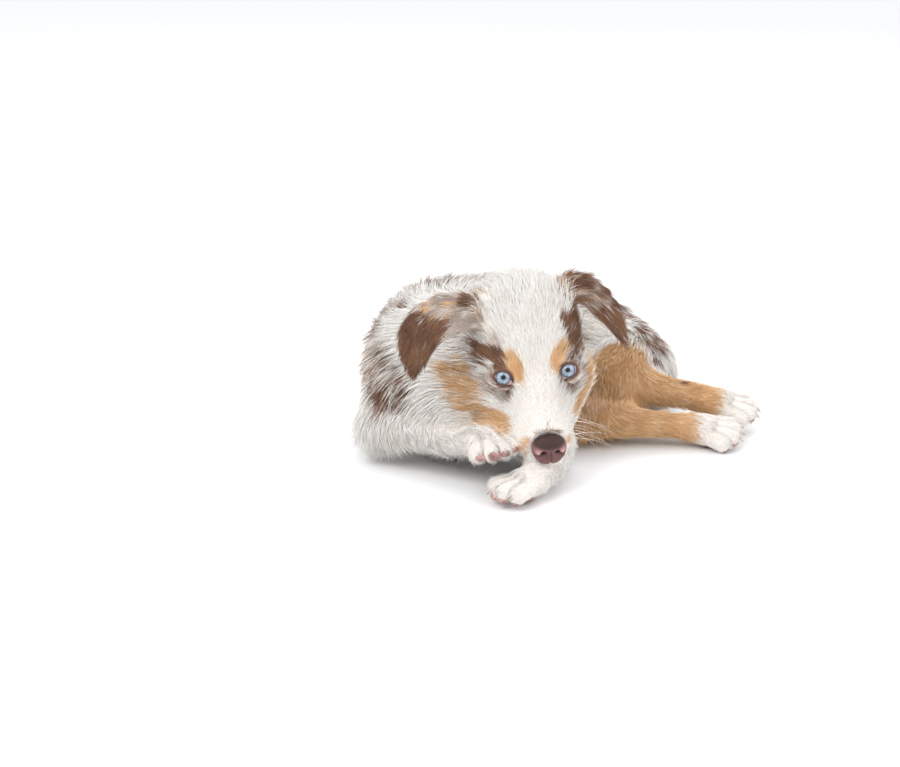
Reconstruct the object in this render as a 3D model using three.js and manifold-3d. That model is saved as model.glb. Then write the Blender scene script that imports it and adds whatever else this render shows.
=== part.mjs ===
// A life-size Australian Shepherd puppy, about nine weeks old, lying curled on the floor with its
// chin on its crossed forelegs and both hind legs stretched out to one side.
//
// Units are millimetres, +Z is up, +X runs from the shoulders towards the hind paws and -Y is the
// side that the face looks to. The flesh is one smooth field of bones and muscles, meshed at the
// level of the coat's tips and parted by thin cuts where a person would name its parts. Eyes, nose
// and claws are solids of their own. Everything that touches the floor is cut flat at z = 0.
import * as THREE from "three";
import { mergeVertices } from "three/addons/utils/BufferGeometryUtils.js";
import Module from "manifold-3d";

const wasm = await Module();
wasm.setup();

// driving dimensions
const eyeSpacing = 53; // between the centres of the two eyes
const eyeRadius = 9.2;
const headYaw = 12; // degrees, the face turned towards +X
const headPitch = 36; // degrees, nose down
const headRoll = -5; // degrees, the crown leaning towards +X
const pawWidth = 47;
const toeRadius = 8.8;
const clawLength = 6.5;
const clawRadius = 2.2;
const cutGap = 0.4; // width of every cut between two parts of the flesh
const standOff = 1.4; // clearance between a leg, ear or tail and what it lies against
const seatGap = 0.35; // clearance round an eye in its seat
const noseGap = 0.9; // clearance round the nose, whose seat is meshed apart from it
const bodyCell = 21.5; // edge of the meshing grid, for each size of part
const headCell = 12.5;
const legCell = 18;
const tailCell = 12.5;
const pawCell = 10.5;
const noseCell = 4;

const palette = {
  coat: new THREE.MeshStandardMaterial({ color: 0xe4ded4, roughness: 0.9, metalness: 0 }),
  tan: new THREE.MeshStandardMaterial({ color: 0xb9813f, roughness: 0.9, metalness: 0 }),
  merle: new THREE.MeshStandardMaterial({ color: 0x6b4634, roughness: 0.9, metalness: 0 }),
  eye: new THREE.MeshStandardMaterial({ color: 0xa9c4e6, roughness: 0.1, metalness: 0 }),
  nose: new THREE.MeshStandardMaterial({ color: 0x6a4540, roughness: 0.4, metalness: 0 }),
};

const at = (x, y, z) => new THREE.Vector3(x, y, z);
const radians = THREE.MathUtils.degToRad;
const between = (a, b, t) => a.clone().lerp(b, t);

// A right-handed frame at a point: forward, left and up. place(f, l, u) gives a point in it.
function frameAt(origin, forward, up) {
  const f = forward.clone().normalize();
  const l = up.clone().cross(f).normalize();
  const u = f.clone().cross(l);
  const place = (a, b, c) =>
    origin.clone().addScaledVector(f, a).addScaledVector(l, b).addScaledVector(u, c);
  return { origin, f, l, u, place };
}

// the skeleton's named places
const brow = at(-10, -112, 96); // midway between the eyes
const turn = new THREE.Euler(radians(headPitch), radians(headRoll), radians(headYaw), "ZXY");
const head = frameAt(brow, at(0, -1, 0).applyEuler(turn), at(0, 0, 1).applyEuler(turn));

const spot = {
  nape: head.place(-66, 0, -14),
  withers: at(-95, -2, 66),
  breast: at(-78, -46, 48),
  ribs: at(-84, 56, 65),
  flank: at(-42, 106, 62),
  loin: at(12, 126, 57),
  croup: at(52, 120, 46),
  rump: at(84, 90, 38),
  tailRoot: at(98, 112, 30),
  tailTip: at(118, 172, 12),
};
const fore = {
  right: {
    shoulder: at(-112, -22, 76),
    elbow: at(-138, -48, 32),
    wrist: at(-68, -104, 36),
    paw: at(-49, -122, 43),
    toes: at(-39, -152, 40),
    up: at(0, -0.42, 1),
  },
  left: {
    shoulder: at(-46, -30, 56),
    elbow: at(2, -70, 23),
    wrist: at(0, -128, 17),
    paw: at(-18, -146, 15),
    toes: at(-46, -163, 12.5),
    up: at(0, 0, 1),
  },
};
const hind = {
  left: {
    hip: at(82, 82, 50),
    knee: at(54, 22, 46),
    hock: at(132, 38, 32),
    paw: at(158, 36, 24),
    toes: at(192, 30, 18),
    up: at(0, -0.3, 1),
  },
  right: {
    hip: at(72, 70, 32),
    knee: at(32, -4, 22),
    hock: at(108, -6, 19),
    paw: at(140, -10, 15),
    toes: at(171, -18, 12.5),
    up: at(0, -0.3, 1),
  },
};

// fields
// A field gives the distance to a surface, negative inside it.
const ball = (centre, radius) => (p) => p.distanceTo(centre) - radius;

function bone(a, b, ra, rb) {
  const along = b.clone().sub(a);
  const lengthSq = along.lengthSq();
  const offset = new THREE.Vector3();
  return (p) => {
    const t = THREE.MathUtils.clamp(offset.subVectors(p, a).dot(along) / lengthSq, 0, 1);
    return offset.addScaledVector(along, -t).length() - THREE.MathUtils.lerp(ra, rb, t);
  };
}

// An ellipsoid with half-lengths rf, rl and ru along a frame's forward, left and up.
function egg(frame, centre, rf, rl, ru) {
  const d = new THREE.Vector3();
  return (p) => {
    d.subVectors(p, centre);
    const [f, l, u] = [d.dot(frame.f), d.dot(frame.l), d.dot(frame.u)];
    const k0 = Math.hypot(f / rf, l / rl, u / ru);
    const k1 = Math.hypot(f / rf ** 2, l / rl ** 2, u / ru ** 2);
    return k1 < 1e-9 ? -Math.min(rf, rl, ru) : (k0 * (k0 - 1)) / k1;
  };
}

// Joins fields with a soft seam about as wide as softness.
const blend = (softness, ...fields) => (p) =>
  fields.reduce((best, field) => {
    const d = field(p);
    const h = Math.max(softness - Math.abs(best - d), 0) / softness;
    return Math.min(best, d) - (h * h * softness) / 4;
  }, 1e3);

// solids
const solid = (geometry) => {
  const bare = new THREE.BufferGeometry().setAttribute("position", geometry.getAttribute("position"));
  if (geometry.index) bare.setIndex(geometry.index);
  const merged = mergeVertices(bare, 1e-4);
  return new wasm.Manifold(
    new wasm.Mesh({
      numProp: 3,
      vertProperties: merged.attributes.position.array,
      triVerts: new Uint32Array(merged.index.array),
    }),
  );
};

const corners = [0, 1, 2, 3, 4, 5, 6, 7].map((c) => [c & 1, (c >> 1) & 1, c >> 2]);
const cellEdges = [];
for (let i = 0; i < 8; i++) for (const bit of [1, 2, 4]) if (!(i & bit)) cellEdges.push([i, i | bit]);

// Whether the inside corners of a cell, or the outside ones, fall into two groups.
function pinched(v) {
  for (const side of [true, false]) {
    const group = v.map((x, i) => (x < 0 === side ? i : -1));
    for (let pass = 0; pass < 4; pass++)
      for (const [a, b] of cellEdges)
        if (group[a] >= 0 && group[b] >= 0) group[a] = group[b] = Math.min(group[a], group[b]);
    if (new Set(group.filter((x) => x >= 0)).size > 1) return true;
  }
  return false;
}

// Fills the outside corner nearest to the surface in each pinched cell, until none is left.
function fillPinches(value, nx, ny, nz) {
  const key = (i, j, k) => i + nx * (j + ny * k);
  for (let changed = true; changed; ) {
    changed = false;
    for (let k = 0; k < nz - 1; k++)
      for (let j = 0; j < ny - 1; j++)
        for (let i = 0; i < nx - 1; i++) {
          const keys = corners.map(([a, b, c]) => key(i + a, j + b, k + c));
          const v = keys.map((n) => value[n]);
          if (!pinched(v)) continue;
          const nearest = Math.min(...v.filter((x) => x >= 0));
          value[keys[v.indexOf(nearest)]] = -0.02;
          changed = true;
        }
  }
}

// Meshes the zero level of a field inside a box: one vertex for each cell that the surface crosses,
// moved onto the surface, and one quad for each crossed grid edge.
function surface(field, low, high, cell) {
  const size = high.clone().sub(low).divideScalar(cell).ceil().addScalar(1);
  const [nx, ny, nz] = size.toArray();
  const key = (i, j, k) => i + nx * (j + ny * k);
  const value = new Float32Array(nx * ny * nz);
  const p = new THREE.Vector3();
  for (let k = 0; k < nz; k++)
    for (let j = 0; j < ny; j++)
      for (let i = 0; i < nx; i++) {
        const rim = Math.min(i, j, k, nx - 1 - i, ny - 1 - j, nz - 1 - k) === 0;
        p.set(i, j, k).multiplyScalar(cell).add(low);
        value[key(i, j, k)] = rim ? 1e3 : field(p);
      }

  fillPinches(value, nx, ny, nz);

  const points = [];
  const vertexOf = new Map();
  const slope = new THREE.Vector3();
  const step = cell / 20;
  const settle = (q) => {
    const d = field(q);
    slope.set(
      field(q.clone().setX(q.x + step)) - d,
      field(q.clone().setY(q.y + step)) - d,
      field(q.clone().setZ(q.z + step)) - d,
    );
    slope.divideScalar(step);
    const move = THREE.MathUtils.clamp(d / Math.max(slope.lengthSq(), 0.2), -cell / 3, cell / 3);
    q.addScaledVector(slope, -move);
  };
  for (let k = 0; k < nz - 1; k++)
    for (let j = 0; j < ny - 1; j++)
      for (let i = 0; i < nx - 1; i++) {
        const v = corners.map(([a, b, c]) => value[key(i + a, j + b, k + c)]);
        if (v.every((x) => x < 0) || v.every((x) => x >= 0)) continue;
        const sum = new THREE.Vector3();
        let crossings = 0;
        for (const [a, b] of cellEdges) {
          if (v[a] < 0 === v[b] < 0) continue;
          const t = v[a] / (v[a] - v[b]);
          sum.add(at(...corners[a]).lerp(at(...corners[b]), t));
          crossings++;
        }
        const q = sum.divideScalar(crossings).add(at(i, j, k)).multiplyScalar(cell).add(low);
        settle(q);
        settle(q);
        vertexOf.set(key(i, j, k), points.length / 3);
        points.push(q.x, q.y, q.z);
      }

  const faces = [];
  const steps = [
    [1, 0, 0],
    [0, 1, 0],
    [0, 0, 1],
  ];
  for (let k = 0; k < nz - 1; k++)
    for (let j = 0; j < ny - 1; j++)
      for (let i = 0; i < nx - 1; i++)
        steps.forEach(([a, b, c], axis) => {
          const inside = value[key(i, j, k)] < 0;
          if (inside === value[key(i + a, j + b, k + c)] < 0) return;
          const [s, t] = [steps[(axis + 1) % 3], steps[(axis + 2) % 3]];
          const cornerAt = (m, n) =>
            vertexOf.get(key(i - m * s[0] - n * t[0], j - m * s[1] - n * t[1], k - m * s[2] - n * t[2]));
          const quad = [cornerAt(0, 0), cornerAt(1, 0), cornerAt(1, 1), cornerAt(0, 1)];
          if (!inside) quad.reverse();
          faces.push(quad[0], quad[1], quad[2], quad[0], quad[2], quad[3]);
        });
  return new THREE.BufferGeometry()
    .setAttribute("position", new THREE.Float32BufferAttribute(points, 3))
    .setIndex(faces);
}

// A closed skin over cross-sections: each station has a middle and two half-axes, wide and thick.
function loft(stations, sides) {
  const points = [];
  for (const { middle, wide, thick } of stations)
    for (let i = 0; i < sides; i++) {
      const a = (2 * Math.PI * i) / sides;
      const q = middle.clone().addScaledVector(wide, Math.cos(a)).addScaledVector(thick, Math.sin(a));
      points.push(...q.toArray());
    }
  const last = stations.length - 1;
  points.push(...stations[0].middle.toArray(), ...stations[last].middle.toArray());
  const faces = [];
  for (let s = 0; s < last; s++)
    for (let i = 0; i < sides; i++) {
      const [a, b] = [s * sides + i, s * sides + ((i + 1) % sides)];
      faces.push(a, b, b + sides, a, b + sides, a + sides);
    }
  const [startCap, endCap] = [(last + 1) * sides, (last + 1) * sides + 1];
  for (let i = 0; i < sides; i++) {
    const j = (i + 1) % sides;
    faces.push(startCap, j, i, endCap, last * sides + i, last * sides + j);
  }
  return new THREE.BufferGeometry()
    .setAttribute("position", new THREE.Float32BufferAttribute(points, 3))
    .setIndex(faces);
}

// A loft may come out inside out, which depends on the turn of its axes, so it is faced outwards.
function loftedSolid(stations, sides) {
  const geometry = loft(stations, sides);
  const made = solid(geometry);
  if (made.volume() > 0) return made;
  const index = geometry.index.array;
  for (let i = 0; i < index.length; i += 3) [index[i + 1], index[i + 2]] = [index[i + 2], index[i + 1]];
  return solid(geometry);
}

// A round bar from a point along a direction.
function bar(start, direction, length, radius) {
  const way = direction.clone().normalize();
  const shape = new THREE.CylinderGeometry(radius, radius, length, 28);
  shape.applyQuaternion(new THREE.Quaternion().setFromUnitVectors(at(0, 1, 0), way));
  const middle = start.clone().addScaledVector(way, length / 2);
  return solid(shape.translate(middle.x, middle.y, middle.z));
}

const cut = (centre, direction, radius) =>
  bar(centre.clone().addScaledVector(direction.clone().normalize(), -cutGap / 2), direction, cutGap, radius);

const box = (low, high) => {
  const side = high.clone().sub(low);
  const middle = between(low, high, 0.5);
  return solid(new THREE.BoxGeometry(...side.toArray()).translate(middle.x, middle.y, middle.z));
};
const underFloor = box(at(-400, -400, -200), at(400, 400, 0));

// The one body of a parted solid that holds a seed point.
function bodyAt(parted, seed) {
  const probe = solid(new THREE.OctahedronGeometry(1.5).translate(seed.x, seed.y, seed.z));
  const bodies = parted.decompose().map((body) => [body.intersect(probe).volume(), body]);
  bodies.sort((a, b) => b[0] - a[0]);
  return bodies[0][1];
}

// the body's field
const skull = blend(
  16,
  egg(head, head.place(-50, 0, 0), 50, 49, 43),
  ball(head.place(-22, 32, -31), 23),
  ball(head.place(-22, -32, -31), 23),
  ball(head.place(-14, 17, 7), 12.5),
  ball(head.place(-14, -17, 7), 12.5),
);
const muzzle = blend(
  12,
  bone(head.place(-6, 0, -14), head.place(44, 0, -22), 27, 17),
  bone(head.place(0, 13, -26), head.place(42, 11, -31), 19, 15),
  bone(head.place(0, -13, -26), head.place(42, -11, -31), 19, 15),
);
const jowls = blend(
  12,
  bone(head.place(-13, 33, -34), head.place(15, 24, -38), 18, 13.5),
  bone(head.place(-13, -33, -34), head.place(15, -24, -38), 18, 13.5),
  bone(head.place(-30, 0, -38), head.place(39, 0, -40), 21, 12),
);
const face = blend(14, skull, muzzle, jowls);
const trunk = blend(
  26,
  bone(spot.nape, between(spot.nape, spot.withers, 0.7), 44, 54),
  bone(spot.withers, spot.ribs, 63, 66),
  bone(spot.ribs, spot.flank, 66, 62),
  bone(spot.flank, spot.loin, 61, 56),
  bone(spot.loin, spot.croup, 56, 50),
  bone(spot.croup, spot.rump, 50, 41),
  bone(spot.rump, spot.tailRoot, 40, 27),
  ball(spot.breast, 48),
);
const body = blend(18, trunk, face);
const noseField = blend(
  4,
  egg(head, head.place(56, 0.6, -21.5), 9, 13.5, 10.5),
  egg(head, head.place(60, 0.6, -32), 4.5, 6.5, 8),
);

// feet
const toeSpread = [-1.5, -0.5, 0.5, 1.5];

function foot({ paw, toes, up }) {
  const reach = toes.distanceTo(paw);
  const frame = frameAt(paw, toes.clone().sub(paw), up);
  const spacing = (pawWidth - 2 * toeRadius) / 3;
  const toeList = toeSpread.map((side) => {
    const outer = Math.abs(side) > 1;
    const tip = frame.place(reach - toeRadius - (outer ? 6 : 0), side * spacing, outer ? -1.5 : 0);
    const root = frame.place(2, side * spacing * 0.62, 0.5);
    return { root, tip };
  });
  return { frame, toeList };
}

const pawField = ({ frame, toeList }) =>
  blend(
    5,
    bone(frame.place(-8, 0, 0), frame.place(9, 0, 0), 14, 14.5),
    ...toeList.map(({ root, tip }) => bone(root, tip, toeRadius - 0.4, toeRadius)),
  );

// A curved cone, from inside the toe's end forwards and down.
function claw({ frame }, { tip }) {
  const base = tip.clone().addScaledVector(frame.f, toeRadius - 3).addScaledVector(frame.u, 1.2);
  const stations = [0, 0.35, 0.7, 1].map((t) => {
    const radius = clawRadius * (1 - 0.82 * t);
    return {
      middle: base
        .clone()
        .addScaledVector(frame.f, clawLength * t)
        .addScaledVector(frame.u, -4.2 * t * t),
      wide: frame.l.clone().multiplyScalar(radius * 0.8),
      thick: frame.u.clone().multiplyScalar(radius),
    };
  });
  return loftedSolid(stations, 6);
}

// assembling
const group = new THREE.Group();
const placed = [];

function show(name, shape, material) {
  const { vertProperties, triVerts, numProp, numVert } = shape.getMesh();
  const points = new Float32Array(numVert * 3);
  for (let i = 0; i < numVert; i++) {
    points.set(vertProperties.subarray(i * numProp, i * numProp + 3), i * 3);
  }
  const geometry = new THREE.BufferGeometry()
    .setAttribute("position", new THREE.BufferAttribute(points, 3))
    .setIndex(new THREE.BufferAttribute(triVerts, 1));
  geometry.computeVertexNormals();
  const mesh = new THREE.Mesh(geometry, material);
  mesh.name = name;
  group.add(mesh);
  placed.push(shape);
}

const grown = (field, by) => (p) => field(p) - by;
const boundsOf = (points, margin) => [
  points.reduce((low, q) => low.min(q), at(1e3, 1e3, 1e3)).subScalar(margin),
  points.reduce((high, q) => high.max(q), at(-1e3, -1e3, -1e3)).addScalar(margin),
];
// Everything past a round cut, along a direction, with half the cut's gap taken off.
const beyond = (centre, way, reach = 190, radius = 80) =>
  bar(centre.clone().addScaledVector(way.clone().normalize(), cutGap / 2), way, reach, radius);
const before = (centre, way, reach = 190, radius = 80) =>
  beyond(centre, way.clone().negate(), reach, radius);

// The trunk with the head on it, and the same a little larger, which the legs are cut back to.
const low = at(-190, -200, -40);
const high = at(200, 220, 190);
const trunkSolid = solid(surface(body, low, high, bodyCell)).subtract(underFloor);
const trunkGrown = solid(surface(grown(body, standOff), low, high, bodyCell));

const headSeam = head.place(-66, 0, -16);
const headWay = head.place(10, 0, -14).sub(headSeam);
const headLow = head.origin.clone().subScalar(150);
const headHigh = head.origin.clone().addScalar(150);
const headFine = solid(surface(body, headLow, headHigh, headCell));
const headGrown = solid(surface(grown(body, standOff), headLow, headHigh, headCell));
const headZone = beyond(headSeam, headWay, 240, 80);
const headHole = beyond(headSeam, headWay, 240, 80.4).add(cut(headSeam, headWay, 80.4));
const seamAlong = headWay.clone().normalize().multiplyScalar(standOff);
const zoneWithin = beyond(headSeam.clone().add(seamAlong), headWay, 236, 80 - standOff);
const zoneAround = beyond(headSeam.clone().sub(seamAlong), headWay, 244, 80 + standOff);
const solids = trunkGrown.subtract(zoneWithin).add(headGrown.intersect(zoneAround));
let headSolid = headFine.intersect(headZone);
const rest = trunkSolid.subtract(headHole);

// head, nose, eyes and ears
const nose = solid(surface(noseField, ...boundsOf([head.place(58, 0, -24)], 26), noseCell));
const noseRoom = boundsOf([head.place(58, 0, -24)], 26);
const noseSeat = solid(surface(grown(noseField, noseGap), ...noseRoom, noseCell));
const eyeAt = (side) => head.place(-2.8, (side * eyeSpacing) / 2, -3.3);
const eyeBall = (side, clearance) => {
  const middle = eyeAt(side);
  const shape = new THREE.IcosahedronGeometry(eyeRadius + clearance, 2);
  return solid(shape.translate(middle.x, middle.y, middle.z));
};
headSolid = headSolid.subtract(noseSeat).subtract(eyeBall(1, seatGap)).subtract(eyeBall(-1, seatGap));
headSolid = bodyAt(headSolid, head.place(-40, 0, 0));
show("head", headSolid, palette.coat);
show("nose", nose, palette.nose);
show("eye_left", eyeBall(1, 0), palette.eye);
show("eye_right", eyeBall(-1, 0), palette.eye);

// A point of the face given as it is seen from just above the front: across, up and towards you.
const seen = (across, up, near) => head.place(-0.8 * up + 0.6 * near, across, 0.6 * up + 0.8 * near);
function earFlap(stations) {
  const middles = stations.map(([a, b, c]) => seen(a, b, c));
  const toViewer = seen(0, 0, 1).sub(head.origin).normalize();
  return stations.map(([, , , half, thick], i) => {
    const along = middles[Math.min(i + 1, middles.length - 1)].clone().sub(middles[Math.max(i - 1, 0)]);
    const wide = along.clone().cross(toViewer).normalize().multiplyScalar(half);
    return { middle: middles[i], wide, thick: toViewer.clone().multiplyScalar(thick) };
  });
}
// across, up, near, half-width, half-thickness
const rightEar = earFlap([
  [-34, 51, -6, 16, 9],
  [-50, 55, 0, 19, 8.5],
  [-67, 55, 3, 21, 7.5],
  [-82, 50, 6, 21, 7],
  [-92, 41, 8, 20, 6.5],
  [-96, 30, 8, 17, 6],
  [-98, 19, 7, 11, 5],
  [-99, 10, 6, 4, 3],
]);
const leftEar = earFlap([
  [26, 62, -8, 13, 9],
  [34, 67, -3, 16, 8.5],
  [44, 64, 2, 16, 8],
  [53, 56, 6, 15, 7],
  [61, 45, 8, 13, 6.5],
  [67, 34, 8, 10, 5.5],
  [71, 24, 7, 7, 5],
  [74, 15, 6, 3, 3],
]);
for (const [name, stations] of [
  ["ear_right", rightEar],
  ["ear_left", leftEar],
]) {
  const flap = loftedSolid(stations, 12).subtract(headGrown);
  show(name, bodyAt(flap, stations[4].middle), palette.merle);
}

// neck, trunk and tail
const spine = [
  [between(spot.nape, spot.withers, 0.4), spot.withers.clone().sub(spot.nape), 84],
  [between(spot.ribs, spot.flank, 0.72), spot.flank.clone().sub(spot.ribs), 72],
  [between(spot.loin, spot.croup, 0.6), spot.croup.clone().sub(spot.loin), 68],
];
let parted = rest;
for (const [centre, way, radius] of spine) parted = parted.subtract(cut(centre, way, radius));

show("neck", bodyAt(parted, between(spot.nape, spot.withers, 0.2)), palette.coat);
show("chest", bodyAt(parted, spot.ribs), palette.merle);
show("belly", bodyAt(parted, spot.loin), palette.merle);
show("rump", bodyAt(parted, spot.rump), palette.coat);
const tailEnds = [spot.tailRoot, spot.tailTip];
const tailField = bone(...tailEnds, 23, 12);
const wholeTail = solid(surface(tailField, ...boundsOf(tailEnds, 34), tailCell));
const tail = wholeTail.subtract(solids).subtract(underFloor);
show("tail", bodyAt(tail, between(...tailEnds, 0.85)), palette.merle);

// legs
function leg(name, names, limb, chain, radii, others) {
  const shape = foot(limb);
  const [top, middle, joint] = chain;
  const field = blend(
    8,
    bone(limb[top], limb[middle], radii[0], radii[1]),
    bone(limb[middle], limb[joint], radii[2], radii[3]),
    bone(limb[joint], limb.paw, radii[3], 13.5),
    pawField(shape),
  );
  const places = [limb[top], limb[middle], limb[joint], limb.paw, limb.toes];
  const all = boundsOf(places, radii[0] + 12);
  const footBox = boundsOf(places.slice(2), 34);
  const trim = (part) =>
    [...others, ...placed, underFloor].reduce((left, other) => left.subtract(other), part);
  const coarse = trim(solid(surface(field, ...all, legCell)));
  const fine = trim(solid(surface(field, ...footBox, pawCell)));

  const kneeCut = between(limb[middle], limb[joint], 0.14);
  const kneeWay = limb[joint].clone().sub(limb[middle]);
  const ankleCut = between(limb[joint], limb.paw, 0.4);
  const ankleWay = limb.paw.clone().sub(limb[joint]);
  const upper = coarse.subtract(beyond(kneeCut, kneeWay, 190, 55)).subtract(cut(kneeCut, kneeWay, 55));
  const belowKnee = coarse.intersect(beyond(kneeCut, kneeWay, 190, 55));
  const lower = belowKnee.intersect(before(ankleCut, ankleWay, 190, 80));
  let paw = fine.intersect(beyond(ankleCut, ankleWay, 90, 40));
  shape.toeList.forEach((toe) => {
    paw = paw.add(claw(shape, toe).subtract(underFloor));
  });
  show(`${name}_${names[0]}`, bodyAt(upper, between(limb[top], limb[middle], 0.75)), palette.tan);
  show(`${name}_${names[1]}`, bodyAt(lower, between(limb[middle], limb[joint], 0.6)), palette.tan);
  show(`${name}_${names[2]}`, bodyAt(paw, between(limb.paw, limb.toes, 0.2)), palette.coat);
  return solid(surface(grown(field, standOff), ...all, legCell));
}

const around = [solids];
const foreNames = ["upper_arm", "forearm", "paw"];
const hindNames = ["thigh", "shank", "paw"];
const foreChain = ["shoulder", "elbow", "wrist"];
const hindChain = ["hip", "knee", "hock"];
const foreRadii = [36, 26, 25, 15];
const hindRadii = [38, 25, 23, 14];
const lowHind = leg("hind_right", hindNames, hind.right, hindChain, hindRadii, around);
leg("hind_left", hindNames, hind.left, hindChain, hindRadii, [...around, lowHind]);
const lowFore = leg("fore_left", foreNames, fore.left, foreChain, foreRadii, [...around, lowHind]);
leg("fore_right", foreNames, fore.right, foreChain, foreRadii, [...around, lowFore]);

// The origin is the middle of the floor area under the whole body.
const bounds = new THREE.Box3().setFromObject(group);
const middleOfBox = bounds.getCenter(new THREE.Vector3());
for (const mesh of group.children) {
  mesh.geometry.translate(-middleOfBox.x, -middleOfBox.y, -bounds.min.z);
  mesh.geometry.computeVertexNormals();
}

export default group;
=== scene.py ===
import math

import bmesh
import bpy
import numpy as np
from mathutils import Matrix, Vector
from mathutils.bvhtree import BVHTree
from mathutils.kdtree import KDTree


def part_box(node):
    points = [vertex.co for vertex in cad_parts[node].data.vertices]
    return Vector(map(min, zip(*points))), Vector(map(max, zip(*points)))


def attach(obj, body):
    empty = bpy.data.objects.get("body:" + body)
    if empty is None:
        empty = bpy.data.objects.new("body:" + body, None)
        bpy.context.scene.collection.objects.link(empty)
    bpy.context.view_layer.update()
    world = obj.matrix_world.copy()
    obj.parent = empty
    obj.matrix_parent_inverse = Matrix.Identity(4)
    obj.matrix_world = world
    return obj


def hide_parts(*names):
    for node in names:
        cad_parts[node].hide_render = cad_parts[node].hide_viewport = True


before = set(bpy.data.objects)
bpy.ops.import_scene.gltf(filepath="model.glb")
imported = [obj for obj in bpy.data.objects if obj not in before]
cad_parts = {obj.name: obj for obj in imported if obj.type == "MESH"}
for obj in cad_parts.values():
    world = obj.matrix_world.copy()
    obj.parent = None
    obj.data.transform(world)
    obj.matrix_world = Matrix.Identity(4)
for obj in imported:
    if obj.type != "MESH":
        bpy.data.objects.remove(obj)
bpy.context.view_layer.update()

print("frame loaded")

# Lengths are metres unless a name ends in Mm. The head has a frame of its own, with its origin
# midway between the eyes: forward along the muzzle, left towards the dog's left, and up.
pose = {"yaw": 12, "pitch": 36, "roll": -5, "eyeRadius": 0.0092, "eyeFromBrowMm": (-2.8, -3.3)}

turn = (
    Matrix.Rotation(math.radians(pose["yaw"]), 3, "Z")
    @ Matrix.Rotation(math.radians(pose["pitch"]), 3, "X")
    @ Matrix.Rotation(math.radians(pose["roll"]), 3, "Y")
)
headForward = np.array(turn @ Vector((0, -1, 0)))
headUp = np.array(turn @ Vector((0, 0, 1)))
headLeft = np.cross(headUp, headForward)
headAxes = np.array([headForward, headLeft, headUp])
eyeMiddles = {side: np.mean(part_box("eye_" + side), axis=0) for side in ("right", "left")}
betweenEyes = (eyeMiddles["right"] + eyeMiddles["left"]) / 2
eyeForward, eyeUp = pose["eyeFromBrowMm"]
brow = betweenEyes - (headForward * eyeForward + headUp * eyeUp) / 1000


def headPoint(forwardMm, leftMm, upMm):
    return brow + np.array([forwardMm, leftMm, upMm]) @ headAxes / 1000


def toHeadMm(points):
    return (points - brow) @ headAxes.T * 1000


def unit(v):
    v = np.asarray(v, float)
    return v / np.maximum(np.linalg.norm(v, axis=-1, keepdims=True), 1e-12)


def smooth(low, high, x):
    t = np.clip((x - low) / (high - low), 0, 1)
    return t * t * (3 - 2 * t)


# A smooth random value between 0 and 1 at each point, the same on every run.
def softNoise(points, size, seed):
    p = points / size + 100.0
    cell = np.floor(p).astype(np.int64)
    t = p - cell
    t = t * t * (3 - 2 * t)
    total = np.zeros(len(points))
    for corner in range(8):
        step = np.array([corner & 1, (corner >> 1) & 1, corner >> 2])
        c = cell + step
        h = (c[:, 0] * 73856093) ^ (c[:, 1] * 19349663) ^ (c[:, 2] * 83492791) ^ (seed * 2654435761)
        h = (h ^ (h >> 13)) * 1274126177 & 0xFFFFFFFF
        value = ((h ^ (h >> 16)) & 0xFFFF) / 65535.0
        weight = np.prod(np.where(step == 1, t, 1 - t), axis=1)
        total += value * weight
    return total


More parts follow.
